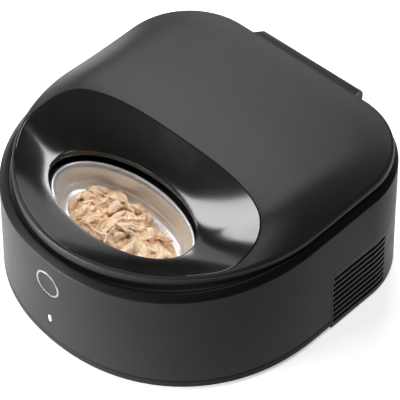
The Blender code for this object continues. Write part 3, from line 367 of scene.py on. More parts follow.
def rod(name, radius, start, end, steps=64):
    start = Vector((start[0] * MM, start[1] * MM + SHIFT, start[2] * MM))
    end = Vector((end[0] * MM, end[1] * MM + SHIFT, end[2] * MM))
    data = bmesh.new()
    turn = (end - start).to_track_quat("Z", "Y").to_matrix().to_4x4()
    bmesh.ops.create_cone(
        data,
        cap_ends=True,
        segments=steps,
        radius1=radius * MM,
        radius2=radius * MM,
        depth=(end - start).length,
        matrix=Matrix.Translation((start + end) / 2) @ turn,
    )
    return mesh_object(name, data)


def prism(name, outline_yz, half_width):
    """A side outline in Y and Z swept across X, as a cutter."""
    data = bmesh.new()
    left = [data.verts.new((-half_width * MM, y * MM + SHIFT, z * MM)) for y, z in outline_yz]
    right = [data.verts.new((half_width * MM, y * MM + SHIFT, z * MM)) for y, z in outline_yz]
    count = len(left)
    for i in range(count):
        j = (i + 1) % count
        data.faces.new((left[i], left[j], right[j], right[i]))
    data.faces.new(left)
    data.faces.new(list(reversed(right)))
    return mesh_object(name, data)


def turned(name, profile, steps, place):
    """A profile of (radius, height) turned about Y through place, with heights to -Y."""
    data = bmesh.new()
    rows = []
    closed = profile[0][0] > 0
    for radius, height in profile:
        if radius <= 0:
            rows.append([data.verts.new((0, 0, height * MM))])
            continue
        row = []
        for i in range(steps):
            turn = 2 * math.pi * i / steps
            row.append(
                data.verts.new(
                    (radius * MM * math.cos(turn), radius * MM * math.sin(turn), height * MM)
                )
            )
        rows.append(row)
    pairs = list(zip(rows, rows[1:]))
    if closed:
        pairs.append((rows[-1], rows[0]))
    for low, high in pairs:
        for i in range(steps):
            j = (i + 1) % steps
            if len(low) == 1:
                data.faces.new((low[0], high[j], high[i]))
            elif len(high) == 1:
                data.faces.new((low[i], low[j], high[0]))
            else:
                data.faces.new((low[i], low[j], high[j], high[i]))
    centre = Vector((place[0] * MM, place[1] * MM + SHIFT, place[2] * MM))
    data.transform(Matrix.Translation(centre) @ Matrix.Rotation(math.pi / 2, 4, "X"))
    return mesh_object(name, data)


# Materials


def new_material(name):
    made = bpy.data.materials.new(name)
    made.use_nodes = True
    tree = made.node_tree
    return made, tree, tree.nodes["Principled BSDF"]


def add(tree, kind, **values):
    node = tree.nodes.new(kind)
    for key, value in values.items():
        if key in node.inputs:
            node.inputs[key].default_value = value
        else:
            setattr(node, key, value)
    return node


def ramp(tree, source, stops):
    node = tree.nodes.new("ShaderNodeValToRGB")
    while len(node.color_ramp.elements) < len(stops):
        node.color_ramp.elements.new(0.5)
    for element, (position, colour) in zip(node.color_ramp.elements, stops):
        element.position = position
        element.color = (*colour, 1)
    tree.links.new(source, node.inputs["Fac"])
    return node


def painted_groove_shade(made, low, high, shade_tone):
    """Paints shade into a plastic between two heights, which follow the seam's slope: a darker
    band that stands for the shade in the groove under the lid's edge.
    """
    tree = made.node_tree
    shader = tree.nodes["Principled BSDF"]
    coords = add(tree, "ShaderNodeTexCoord")
    parts = add(tree, "ShaderNodeSeparateXYZ")
    tree.links.new(coords.outputs["Object"], parts.inputs["Vector"])
    rise = add(tree, "ShaderNodeMath", operation="MULTIPLY_ADD")
    rise.inputs[1].default_value = -SLOPE
    tree.links.new(parts.outputs["Y"], rise.inputs[0])
    tree.links.new(parts.outputs["Z"], rise.inputs[2])
    place = add(tree, "ShaderNodeMapRange")
    place.inputs["From Min"].default_value = (low - SLOPE * SHIFT_MM) * MM
    place.inputs["From Max"].default_value = (high - SLOPE * SHIFT_MM) * MM
    tree.links.new(rise.outputs["Value"], place.inputs["Value"])
    edge = 0.02
    # Painted shade: between the two heights the colour is multiplied by the tone, with short soft
    # edges
    shade = ramp(
        tree,
        place.outputs["Result"],
        [(0.0, (1, 1, 1)), (edge, shade_tone), (1 - edge, shade_tone), (1.0, (1, 1, 1))],
    )
    mixed = add(tree, "ShaderNodeMix", data_type="RGBA", blend_type="MULTIPLY")
    mixed.inputs["Factor"].default_value = 1.0
    old = shader.inputs["Base Color"].links[0].from_socket
    tree.links.new(old, mixed.inputs["A"])
    tree.links.new(shade.outputs["Color"], mixed.inputs["B"])
    tree.links.new(mixed.outputs["Result"], shader.inputs["Base Color"])


def moulded(
    name,
    colour,
    roughness,
    grain=2600,
    depth=0.00004,
    spread=0.12,
    specular=0.5,
    smudge=0.05,
):
    """Moulded plastic: fine spark grain, soft mottling and faint handling marks."""
    made, tree, shader = new_material(name)
    coords = add(tree, "ShaderNodeTexCoord")
    fine = add(tree, "ShaderNodeTexNoise", Scale=grain, Detail=3.0, Roughness=0.65)
    broad = add(tree, "ShaderNodeTexNoise", Scale=14.0, Detail=4.0, Roughness=0.55)
    marks = add(tree, "ShaderNodeTexNoise", Scale=55.0, Detail=6.0, Roughness=0.7)
    for node in (fine, broad, marks):
        tree.links.new(coords.outputs["Object"], node.inputs["Vector"])
    low = [c * (1 - spread) for c in colour]
    high = [c * (1 + spread) for c in colour]
    tint = ramp(tree, broad.outputs["Fac"], [(0.3, low), (0.7, high)])
    speck = add(tree, "ShaderNodeMix", data_type="RGBA", blend_type="MULTIPLY")
    speck.inputs["Factor"].default_value = 1.0
    dim, bright = (0.9, 0.9, 0.9), (1.06, 1.06, 1.06)
    grain_ramp = ramp(tree, fine.outputs["Fac"], [(0.3, dim), (0.7, bright)])
    tree.links.new(tint.outputs["Color"], speck.inputs["A"])
    tree.links.new(grain_ramp.outputs["Color"], speck.inputs["B"])
    tree.links.new(speck.outputs["Result"], shader.inputs["Base Color"])
    rough = add(tree, "ShaderNodeMapRange")
    rough.inputs["From Min"].default_value = 0.3
    rough.inputs["From Max"].default_value = 0.7
    rough.inputs["To Min"].default_value = roughness - smudge
    rough.inputs["To Max"].default_value = roughness + smudge
    tree.links.new(marks.outputs["Fac"], rough.inputs["Value"])
    tree.links.new(rough.outputs["Result"], shader.inputs["Roughness"])
    if depth > 0:
        bump = add(tree, "ShaderNodeBump", Strength=0.6, Distance=depth)
        tree.links.new(fine.outputs["Fac"], bump.inputs["Height"])
        tree.links.new(bump.outputs["Normal"], shader.inputs["Normal"])
    shader.inputs["Specular IOR Level"].default_value = specular
    return made


def brushed(
    name, colour, roughness, scale=(60, 60, 2600), depth=0.00002, spread=0.1, metallic=1.0
):
    """Metal brushed along the directions whose scale is small."""
    made, tree, shader = new_material(name)
    coords = add(tree, "ShaderNodeTexCoord")
    mapping = add(tree, "ShaderNodeMapping")
    mapping.inputs["Scale"].default_value = scale
    tree.links.new(coords.outputs["Object"], mapping.inputs["Vector"])
    lines = add(tree, "ShaderNodeTexNoise", Scale=1.0, Detail=4.0, Roughness=0.6)
    tree.links.new(mapping.outputs["Vector"], lines.inputs["Vector"])
    low = [c * (1 - spread) for c in colour]
    high = [min(1, c * (1 + spread)) for c in colour]
    tint = ramp(tree, lines.outputs["Fac"], [(0.3, low), (0.7, high)])
    tree.links.new(tint.outputs["Color"], shader.inputs["Base Color"])
    rough = add(tree, "ShaderNodeMapRange")
    rough.inputs["From Min"].default_value = 0.3
    rough.inputs["From Max"].default_value = 0.7
    rough.inputs["To Min"].default_value = roughness - 0.06
    rough.inputs["To Max"].default_value = roughness + 0.08
    tree.links.new(lines.outputs["Fac"], rough.inputs["Value"])
    tree.links.new(rough.outputs["Result"], shader.inputs["Roughness"])
    bump = add(tree, "ShaderNodeBump", Strength=0.35, Distance=depth)
    tree.links.new(lines.outputs["Fac"], bump.inputs["Height"])
    tree.links.new(bump.outputs["Normal"], shader.inputs["Normal"])
    shader.inputs["Metallic"].default_value = metallic
    return made


def glowing(name, colour, strength):
    """A frosted light pipe: a milky body that glows, with faint cloudy variation in its tone."""
    made, tree, shader = new_material(name)
    coords = add(tree, "ShaderNodeTexCoord")
    cloud = add(tree, "ShaderNodeTexNoise", Scale=900.0, Detail=2.0)
    tree.links.new(coords.outputs["Object"], cloud.inputs["Vector"])
    tint = ramp(tree, cloud.outputs["Fac"], [(0.2, [c * 0.92 for c in colour]), (0.8, colour)])
    tree.links.new(tint.outputs["Color"], shader.inputs["Base Color"])
    tree.links.new(tint.outputs["Color"], shader.inputs["Emission Color"])
    shader.inputs["Emission Strength"].default_value = strength
    shader.inputs["Roughness"].default_value = 0.35
    return made


def dress(obj, material):
    obj.data.materials.clear()
    obj.data.materials.append(material)


MAT = {
    "body": moulded(
        "body_plastic",
        (0.0135, 0.0135, 0.0139),
        0.4,
        spread=0.05,
        specular=0.08,
        smudge=0.02,
    ),
    "base": moulded(
        "base_plastic",
        (0.0125, 0.0125, 0.0129),
        0.42,
        spread=0.05,
        specular=0.08,
        smudge=0.02,
    ),
    "lid": moulded(
        "lid_plastic",
        (0.015, 0.015, 0.0154),
        0.4,
        spread=0.05,
        specular=0.14,
        smudge=0.015,
    ),
    "scoop": moulded(
        "scoop_plastic",
        (0.005, 0.005, 0.0051),
        0.15,
        grain=900,
        depth=0.0,
        smudge=0.02,
        specular=0.8,
    ),
    "panel": moulded("panel_plastic", (0.006, 0.006, 0.0062), 0.42, specular=0.14),
    "inner": moulded("inner_plastic", (0.016, 0.016, 0.0165), 0.55),
    "white": moulded("white_plastic", (0.7, 0.7, 0.68), 0.4),
    "foam": moulded("foam", (0.75, 0.73, 0.66), 0.9, grain=500, depth=0.0003),
    "rubber": moulded("rubber", (0.012, 0.012, 0.012), 0.75, grain=1400, depth=0.0001),
    "board": moulded("board", (0.012, 0.1, 0.045), 0.35, grain=700, depth=0.00003),
    "steel": brushed("bowl_steel", (0.94, 0.94, 0.94), 0.44, metallic=0.75),
    "pin": brushed("pin_steel", (0.55, 0.55, 0.55), 0.3, (2600, 60, 60)),
    "aluminium": brushed("aluminium", (0.6, 0.6, 0.61), 0.35, (40, 2400, 2400)),
    "ring": brushed("ring_metal", (0.33, 0.33, 0.33), 0.28, (400, 400, 400)),
    "light": glowing("light_pipe", (0.92, 0.96, 1.0), 1.1),
}

# Painted shade in the groove under the lid: the body's shoulder above the seam and the lid's skirt
# and underside are darkened
painted_groove_shade(MAT["body"], SEAM - 0.4, SEAM + 40, (0.4, 0.4, 0.4))
painted_groove_shade(MAT["lid"], SEAM - 40, SEAM + 11.0, (0.3, 0.3, 0.3))

NODE_LOOKS = {
    "foot_1": "rubber",
    "foot_2": "rubber",
    "foot_3": "rubber",
    "foot_4": "rubber",
    "base_screw_1": "pin",
    "base_screw_2": "pin",
    "base_screw_3": "pin",
    "base_screw_4": "pin",
    "power_socket": "inner",
    "chamber_tub": "inner",
    "insulation_jacket": "foam",
    "carousel_tray": "inner",
    "spindle": "pin",
    "spindle_bush": "white",
    "carousel_gear": "white",
    "motor_pinion": "white",
    "gear_motor": "aluminium",
    "cold_plate": "aluminium",
    "thermoelectric_module": "white",
    "heat_sink": "aluminium",
    "fan_frame": "inner",
    "fan_rotor": "inner",
    "front_board": "board",
    "button_switch": "inner",
    "status_light_source": "white",
    "control_board": "board",
    "driver_chip": "inner",
    "supply_capacitor": "aluminium",
    "lid_liner": "inner",
    "lid_seal": "rubber",
    "hinge_pin_left": "pin",
    "hinge_pin_right": "pin",
}
for node_name, look in NODE_LOOKS.items():
    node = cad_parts[node_name]
    dress(node, MAT[look])
    smooth(node, 32)


def stand_for(obj, material, body, *nodes):
    """Finishes a piece, which rides a body and stands for the named nodes."""
    dress(obj, MAT[material] if isinstance(material, str) else material)
    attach(obj, body)
    if nodes:
        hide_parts(*nodes)


# Housing


def vent_outline(gap):
    front, top, radius = VENT_FRONT + gap, VENT_TOP - gap, VENT_CORNER - gap
    points = [(VENT_BACK, VENT_LOW), (VENT_BACK, top)]
    for i in range(17):
        turn = math.pi / 2 * i / 16
        points.append(
            (front + radius - radius * math.sin(turn), top - radius + radius * math.cos(turn))
        )
    points.append((front, VENT_LOW))
    return points


def hinge_notch(name):
    half = BARREL_HALF + HINGE_ROOM
    radius = BARREL + HINGE_ROOM
    return rod(name, radius, (-half, HINGE_Y, HINGE_Z), (half, HINGE_Y, HINGE_Z), 96)


def body_skin():
    profile = [
        (0, 12.6, 0, 0.5),
        (0, SEAM, 1, 0.9),
        (6, SEAM + 5.5, 1, 1.2),
        (8.5, SEAM + 5.5, 1, 0.6),
        (8.5, SEAM + 0.7, 1, 0),
        (12.5, SEAM + 0.7, 1, 0),
        (12.5, SEAM - 1.8, 1, 0),
        (2.5, SEAM - 10, 1, 0),
        (2.5, 12.6, 0, 0),
    ]
    data = rows_mesh(body_rows(profile), ring_shaped=True)
    skin = mesh_object("body_shell_skin", data)
    boolean(skin, hinge_notch("notch"))
    boolean(skin, prism("vent_cut", vent_outline(0), CUTTER_REACH))
    face = front_at(BUTTON_Z)
    start = (0, -face - CUT_AHEAD, BUTTON_Z)
    boolean(skin, rod("button_cut", BUTTON_HOLE, start, (0, CUT_BEHIND - face, BUTTON_Z), 96))
    face = front_at(LAMP_Z)
    boolean(skin, pill_block("lamp_cut", LAMP_GAP, -face - CUT_AHEAD, CUT_BEHIND - face))
    smooth(skin, 30)
    stand_for(skin, "body", "housing", "body_shell")


def pill_outline(gap, steps=16):
    radius = LAMP_RADIUS + gap
    straight = LAMP_HALF - LAMP_RADIUS
    points = []
    for end in (1, -1):
        for i in range(steps + 1):
            turn = math.pi * i / steps
            points.append(
                (end * radius * math.cos(turn), end * (straight + radius * math.sin(turn)))
            )
    return points


def pill_block(name, gap, front, back):
    data = bmesh.new()
    near, far = [
        [data.verts.new((x * MM, y * MM + SHIFT, (LAMP_Z + z) * MM)) for x, z in pill_outline(gap)]
        for y in (front, back)
    ]
    count = len(near)
    for i in range(count):
        j = (i + 1) % count
        data.faces.new((near[i], near[j], far[j], far[i]))
    data.faces.new(near)
    data.faces.new(list(reversed(far)))
    return mesh_object(name, data)


def base_skin():
    profile = [
        (2.8, 4.5, 0, 0),
        (2.8, 12, 0, 0),
        (0, 12, 0, 0.5),
        (0, 5, 0, 1.5),
        (3, 2, 0, 1.2),
    ]
    rows = []
    for inset, height, _ in rounded(profile)[:-1]:
        rows.append(ring(body_plan(inset, height), height))
    rows.append(ring(body_plan(3, 2), 2))
    skin = mesh_object("base_cover_skin", rows_mesh(rows))
    envelope = mesh_object(
        "envelope",
        rows_mesh(
            [
                ring(body_plan(-6, 0), -4),
                ring(body_plan(-6, 0), 20),
                ring(body_plan(5, 0), 20),
                ring(body_plan(5, 0), -4),
            ],
            ring_shaped=True,
        ),
    )
    boolean(envelope, prism("envelope_cut", vent_outline(0), CUTTER_REACH), "INTERSECT")
    boolean(skin, envelope)
    smooth(skin, 30)
    stand_for(skin, "base", "housing", "base_cover")


def panel_skin():
    rows = [
        ring(body_plan(0, PANEL_LOW), PANEL_LOW),
        ring(body_plan(0, PANEL_HIGH), PANEL_HIGH),
        ring(body_plan(PANEL_SHEET, PANEL_HIGH), PANEL_HIGH),
        ring(body_plan(PANEL_SHEET, PANEL_LOW), PANEL_LOW),
    ]
    skin = mesh_object("vent_panel_skin", rows_mesh(rows, ring_shaped=True))
    boolean(skin, prism("panel_cut", vent_outline(VENT_GAP), CUTTER_REACH), "INTERSECT")
    for number in range(SLOT_COUNT):
        low = SLOT_FIRST + SLOT_PITCH * number
        over = max(0, low + SLOT_HEIGHT - SLOT_BEND_FROM)
        start = SLOT_START + over * over / SLOT_BEND
        end = (CUTTER_REACH, SLOT_END, low + SLOT_HEIGHT)
        boolean(skin, block(f"slot_{number}", (-CUTTER_REACH, start, low), end))
    boolean(skin, rod("socket_cut", 6.3, (45, 150, 26), (45, 180, 26)))
    smooth(skin, 30)
    stand_for(skin, "panel", "housing", "rear_vent_panel")


body_skin()
base_skin()
panel_skin()


# Lid and scoop


def lid_skin():
    inner = scoop_plan(BEARINGS)
    outer = LID_PLAN
    span = np.linalg.norm(outer - inner, axis=1)
    rows = []
    top = lid_height(inner)
    rows.append(ring(inner, top - 0.45))
    step = (outer - inner) / span[:, None]
    rows.append(ring(inner + step * 0.12, top - 0.13))
    levels = [0.4, 0.9, 1.5]
    for level in levels:
        points = inner + step * level
        rows.append(ring(points, lid_height(points)))
    depths = [110, 95, 80, 68, 56, 46, 37, 29, 22, 17, 13, 10, 8, 6.4, 5.2, 4.3, 3.5]
    depths += [2.9, 2.4, 1.9, 1.5, 1.1, 0.8, 0.5, 0.3, 0.15, 0.05, 0]
    for i, depth in enumerate(depths):
        share = 1 - (i + 1) / len(depths)
        back = np.minimum(depth, (span - 1.6) * share)
        points = outer - step * back[:, None]
        rows.append(ring(points, lid_height(points)))
    bottom = SEAM + 9 + SLOPE * outer[:, 1]
    rows.append(ring(outer, bottom + 0.4))
    rows.append(ring(lid_plan(0.15), bottom + 0.1))
    rows.append(ring(lid_plan(0.5), bottom))
    skirt = lid_plan(LID_SHEET)
    rows.append(ring(skirt, bottom))
    rows.append(ring(skirt, np.maximum(lid_height(skirt) - LID_SHEET, bottom + 0.3)))
    for share in (0.25, 0.5, 0.75):
        middle = skirt + (inner - skirt) * share
        rows.append(ring(middle, lid_height(middle) - LID_SHEET))
    rows.append(ring(inner, top - LID_SHEET))
    skin = mesh_object("lid_shell_skin", rows_mesh(rows, ring_shaped=True))
    arc = []
    for i in range(96):
        turn = 2 * math.pi * i / 96
        arc.append((HINGE_Y + BARREL * math.cos(turn), HINGE_Z + BARREL * math.sin(turn)))
    heights = lid_height(np.array([[0, LID_REAR - 7.0], [0, LID_REAR - 3.5]]))
    root = [
        (LID_REAR - 7.0, heights[0] - 3.5),
        (LID_REAR - 3.5, heights[1] - 3.5),
        (LID_REAR - 3.5, heights[1] - 9.5),
    ]
    wing = [p for p in arc if p[1] > HINGE_Z + BARREL * 0.55 and p[0] > HINGE_Y]
    barrel = hull("barrel", [(s * BARREL_HALF, y, z) for s in (-1, 1) for y, z in arc + root])
    wings = hull(
        "wings",
        [(s * BARREL_HALF, y, z) for s in (-1, 1) for y, z in wing]
        + [(s * (BARREL_HALF + 5), y, z) for s in (-1, 1) for y, z in root],
    )
    boolean(barrel, wings, "UNION")
    boolean(skin, barrel, "UNION")
    smooth(skin, 30)
    stand_for(skin, "lid", "lid", "lid_shell")


def hull(name, points):
    data = bmesh.new()
    for x, y, z in points:
        data.verts.new((x * MM, y * MM + SHIFT, z * MM))
    shape = bmesh.ops.convex_hull(data, input=data.verts)
    loose = [item for item in shape["geom_interior"] if isinstance(item, bmesh.types.BMVert)]
    bmesh.ops.delete(data, geom=loose, context="VERTS")
    return mesh_object(name, data)


def scoop_skin():
    edge = scoop_plan(BEARINGS, 0.6)
    edge_top = lid_height(edge)
    hole = hole_plan(BEARINGS)
    rows = []

    def surface(share, drop=0.0):
        points = hole + (edge - hole) * share
        return ring(points, HOLE_Z + (edge_top - HOLE_Z) * share**SCOOP_DISH - drop)

    rows.append(ring(edge, edge_top - 0.5))
    rows.append(ring(edge + (hole - edge) * 0.002, edge_top - 0.15))
    shares = [0.994, 0.985, 0.97, 0.95, 0.92, 0.88, 0.84, 0.78, 0.72, 0.66, 0.6, 0.54]
    shares += [0.48, 0.42, 0.36, 0.3, 0.25, 0.2, 0.16, 0.12, 0.09, 0.06, 0.04, 0.025]
    for share in shares:
        rows.append(surface(share))
    for k in range(6):
        turn = math.pi / 2 * k / 5
        inset = 0.8 * (math.sin(turn) - 1)
        rows.append(ring(hole_plan(BEARINGS, inset), HOLE_Z - 0.8 + 0.8 * math.cos(turn)))
    collar = HOLE_Z - COLLAR
    rows.append(ring(hole_plan(BEARINGS), collar + 0.4))
    rows.append(ring(hole_plan(BEARINGS, -0.3), collar))
    rows.append(ring(hole_plan(BEARINGS, -SCOOP_SHEET), collar))
    for share in (0.08, 0.2, 0.4, 0.6, 0.8, 1.0):
        rows.append(surface(share, SCOOP_SHEET))
    skin = mesh_object("scoop_skin", rows_mesh(rows, ring_shaped=True), 50)
    stand_for(skin, "scoop", "lid", "scoop_insert")


lid_skin()
scoop_skin()


# Bowls and food


def bowl_skin(number):
    """A pressed oval bowl with a rolled rim and a shallow base step."""
    bead, draft, fillet, sheet = 3.2, 5.0, 6.0, 0.9
    centre_inset, centre_a, centre_b = 60, 30.0, 8.0
    floor = BOWL_TOP - BOWL_DEPTH
    low = bead + draft
    profile = [
        (centre_inset, floor + 0.4),
        (low + fillet + 7, floor + 0.4),
        (low + fillet + 5.4, floor),
    ]
    for k in range(9):
        turn = math.pi / 2 * k / 8
        profile.append(
            (low + fillet * (1 - math.sin(turn)), floor + fillet * (1 - math.cos(turn)))
        )
    profile += [(low, floor + fillet + 0.8), (low - 0.5, floor + fillet + 1.5)]
    profile += [(low - 1.3, floor + fillet + 1.9), (low - 1.6, floor + fillet + 2.7)]
    for k in range(2, 8):
        share = k / 8
        profile.append(
            (low - draft * share, floor + fillet + (BOWL_DEPTH - fillet - 1.6) * share)
        )
    for k in range(13):
        turn = math.pi * (1 - k / 12)
        profile.append(
            (bead / 2 + bead / 2 * math.cos(turn), BOWL_TOP - 1.6 + 1.6 * math.sin(turn))
        )
    profile.append((0.0, BOWL_TOP - 3.2))
    profile.append((0.35, BOWL_TOP - 3.7))
    profile.append((1.4, BOWL_TOP - 3.7))
    profile.append((bead - sheet, BOWL_TOP - 3.0))
    profile.append((low - sheet, floor + fillet))
    for k in range(1, 9):
        turn = math.pi / 2 * (1 - k / 8)
        profile.append(
            (
                low - sheet + (fillet + sheet) * (1 - math.sin(turn)),
                floor - sheet + (fillet + sheet) * (1 - math.cos(turn)),
            )
        )
    profile.append((centre_inset, floor - sheet))
    steps = 160
    turns = np.linspace(0, 2 * math.pi, steps, endpoint=False)
    spin = 2 * math.pi * (number - 1) / 3
    rows = []
    for inset, height in profile:
        a = BOWL_A - inset
        b = max(BOWL_B - inset, 1.5)
        if inset >= centre_inset:
            a, b = centre_a, centre_b
        x = a * np.cos(turns)
        y = b * np.sin(turns) - BOWL_PITCH
        points = np.column_stack(
            [
                x * math.cos(spin) - y * math.sin(spin),
                x * math.sin(spin) + y * math.cos(spin) + SPINDLE_Y,
            ]
        )
        rows.append(ring(points, height))
    bowl = mesh_object(f"bowl_{number}_skin", rows_mesh(rows), 60)
    bowl.data.flip_normals()
    stand_for(bowl, "steel", "carousel", f"bowl_{number}")


for bowl_number in (1, 2, 3):
    bowl_skin(bowl_number)


def food_material():
    made, tree, shader = new_material("shredded_food")
    coords = add(tree, "ShaderNodeTexCoord")
    tint = add(tree, "ShaderNodeAttribute", attribute_name="tint")
    fibre = add(tree, "ShaderNodeTexNoise", Scale=420.0, Detail=5.0, Roughness=0.6)
    patch = add(tree, "ShaderNodeTexNoise", Scale=110.0, Detail=3.0)
    for node in (fibre, patch):
        tree.links.new(coords.outputs["Object"], node.inputs["Vector"])
    # Colour from the tint: deep brown at its low end, which is painted shade in the hollows
    # between flakes, up to pale at its high end; the food's own tone varies along it too
    tone_and_hollow_shade = ramp(
        tree,
        tint.outputs["Fac"],
        [
            (0.0, (0.5, 0.18, 0.06)),
            (0.3, (0.8, 0.43, 0.21)),
            (0.62, (0.95, 0.67, 0.42)),
            (1.0, (0.98, 0.84, 0.66)),
        ],
    )
    shade = ramp(tree, patch.outputs["Fac"], [(0.25, (0.82, 0.7, 0.58)), (0.65, (1, 1, 1))])
    mixed = add(tree, "ShaderNodeMix", data_type="RGBA", blend_type="MULTIPLY")
    mixed.inputs["Factor"].default_value = 1.0
    tree.links.new(tone_and_hollow_shade.outputs["Color"], mixed.inputs["A"])
    tree.links.new(shade.outputs["Color"], mixed.inputs["B"])
    tree.links.new(mixed.outputs["Result"], shader.inputs["Base Color"])
    bump = add(tree, "ShaderNodeBump", Strength=0.5, Distance=0.0004)
    tree.links.new(fibre.outputs["Fac"], bump.inputs["Height"])
    tree.links.new(bump.outputs["Normal"], shader.inputs["Normal"])
    shader.inputs["Roughness"].default_value = 0.38
    shader.inputs["Subsurface Weight"].default_value = 0.25
    shader.inputs["Subsurface Radius"].default_value = (0.6, 0.3, 0.15)
    shader.inputs["Subsurface Scale"].default_value = 0.004
    shader.inputs["Coat Weight"].default_value = 0.3
    shader.inputs["Coat Roughness"].default_value = 0.2
    return made


def heap_height(x, y):
    """How high the food lies over the bowl's floor, in millimetres."""
    across = ((x - 1) / 71) ** 2 + ((y + 1) / 33) ** 2
    body = 15.5 * max(0.0, 1 - across) ** 0.4
    lean = -0.05 * x - 0.04 * y
    lumps = 3.2 * noise.noise(Vector((x * 0.07, y * 0.09, 3.1)))
    return max(0.5, body + (lean + lumps) * min(1.0, max(0.0, 1.2 - across)))


def kept_inside(x, y, z=0.0):
    """Draws a point back inside the space that the food may fill."""
    room = min(5.0, max(0.0, z))
    limit = math.sqrt(
        (x / (FOOD_HALF_X + room)) ** 2 + (y / (FOOD_HALF_Y + room * 0.9)) ** 2
    )
    if limit <= 1:
        return x, y
    return x / limit, y / limit


def flake(data, rand, centre, heading, length, width, thick, lift):
    """One torn flake: a bent, flattened bundle of fibres with frayed ends."""
    steps = max(7, int(length / 1.9))
    around = 24
    bend = rand.uniform(-1.0, 1.0)
    twist = rand.uniform(-0.9, 0.9)
    curl = rand.uniform(-2.5, 1.5)
    tip = rand.uniform(0.15, 0.6)
    seed = rand.uniform(0, 100)
    turn = heading - bend * 0.5
    x = centre[0] - math.cos(heading) * length / 2
    y = centre[1] - math.sin(heading) * length / 2
    made = []
    for i in range(steps + 1):
        t = i / steps
        ends = 2 * t - 1
        taper = max(0.1, 1 - abs(ends) ** 3) ** 0.5 * (1 - tip * t)
        wobble = noise.noise(Vector((seed, t * 3, 0)))
        x, y = kept_inside(x, y)
        z = heap_height(x, y) + lift + 0.9 * wobble + curl * ends * ends
        forward = Vector((math.cos(turn), math.sin(turn), 0))
        side = Vector((-math.sin(turn), math.cos(turn), 0))
        up = Vector((0, 0, 1))
        roll = twist * (t - 0.3)
        side, up = (
            side * math.cos(roll) + up * math.sin(roll),
            up * math.cos(roll) - side * math.sin(roll),
        )
        row = []
        for k in range(around):
            a = 2 * math.pi * k / around
            fibres = noise.noise(Vector((seed + 2.0 * math.cos(a), 2.0 * math.sin(a), t * 1.3)))
            strand = noise.noise(Vector((seed + 6.5 * math.cos(a), 6.5 * math.sin(a), t * 1.6)))
            torn = noise.noise(Vector((seed + 31 + 2.2 * math.cos(a), 2.2 * math.sin(a), t * 7)))
            swell = taper * (1 + 0.5 * fibres + 0.3 * torn + 0.26 * strand)
            offset = side * (math.cos(a) * width / 2 * swell)
            offset = offset + up * (math.sin(a) * thick / 2 * swell)
            offset = offset + forward * (5.5 * torn * abs(ends) ** 3)
            point = Vector((x, y, z)) + offset
            px, py = kept_inside(point.x, point.y, point.z)
            height = max(point.z, 0.2) + FOOD_FLOOR
            row.append(data.verts.new((px * MM, (py + HOLE_Y) * MM + SHIFT, height * MM)))
        made.append(row)
        x += math.cos(turn) * length / steps
        y += math.sin(turn) * length / steps
        turn += bend / steps + 0.16 * wobble
    for low, high in zip(made, made[1:]):
        for k in range(around):
            j = (k + 1) % around
            data.faces.new((low[k], low[j], high[j], high[k]))
    data.faces.new(list(reversed(made[0])))
    data.faces.new(made[-1])


def heap_body(data):
    """The closed mass under the flakes."""
    rings, steps = 14, 72
    rows = []
    for i in range(rings + 1):
        share = max(1 - i / rings, 0.02)
        row = []
        for k in range(steps):
            a = 2 * math.pi * k / steps
            x = FOOD_HALF_X * share * math.cos(a)
            y = FOOD_HALF_Y * share * math.sin(a) - 0.5
            z = 0.2 if i == 0 else max(heap_height(x, y) - 6.0, 0.2)
            place = (x * MM, (y + HOLE_Y) * MM + SHIFT, (z + FOOD_FLOOR) * MM)
            row.append(data.verts.new(place))
        rows.append(row)
    for low, high in zip(rows, rows[1:]):
        for k in range(steps):
            j = (k + 1) % steps
            data.faces.new((low[k], low[j], high[j], high[k]))
    data.faces.new(list(reversed(rows[0])))
    data.faces.new(rows[-1])


# Kinds of flake: how many, then ranges of length, width, thickness and lift
FLAKES = (
    (22, (22, 36), (12, 19), (4.5, 7.0), (-4.0, 0.0)),
    (34, (14, 26), (6, 11), (4.5, 6.5), (-0.5, 4.0)),
    (16, (12, 24), (2.4, 3.8), (2.2, 3.2), (2.0, 5.0)),
)
FOOD_VOXEL = 0.65


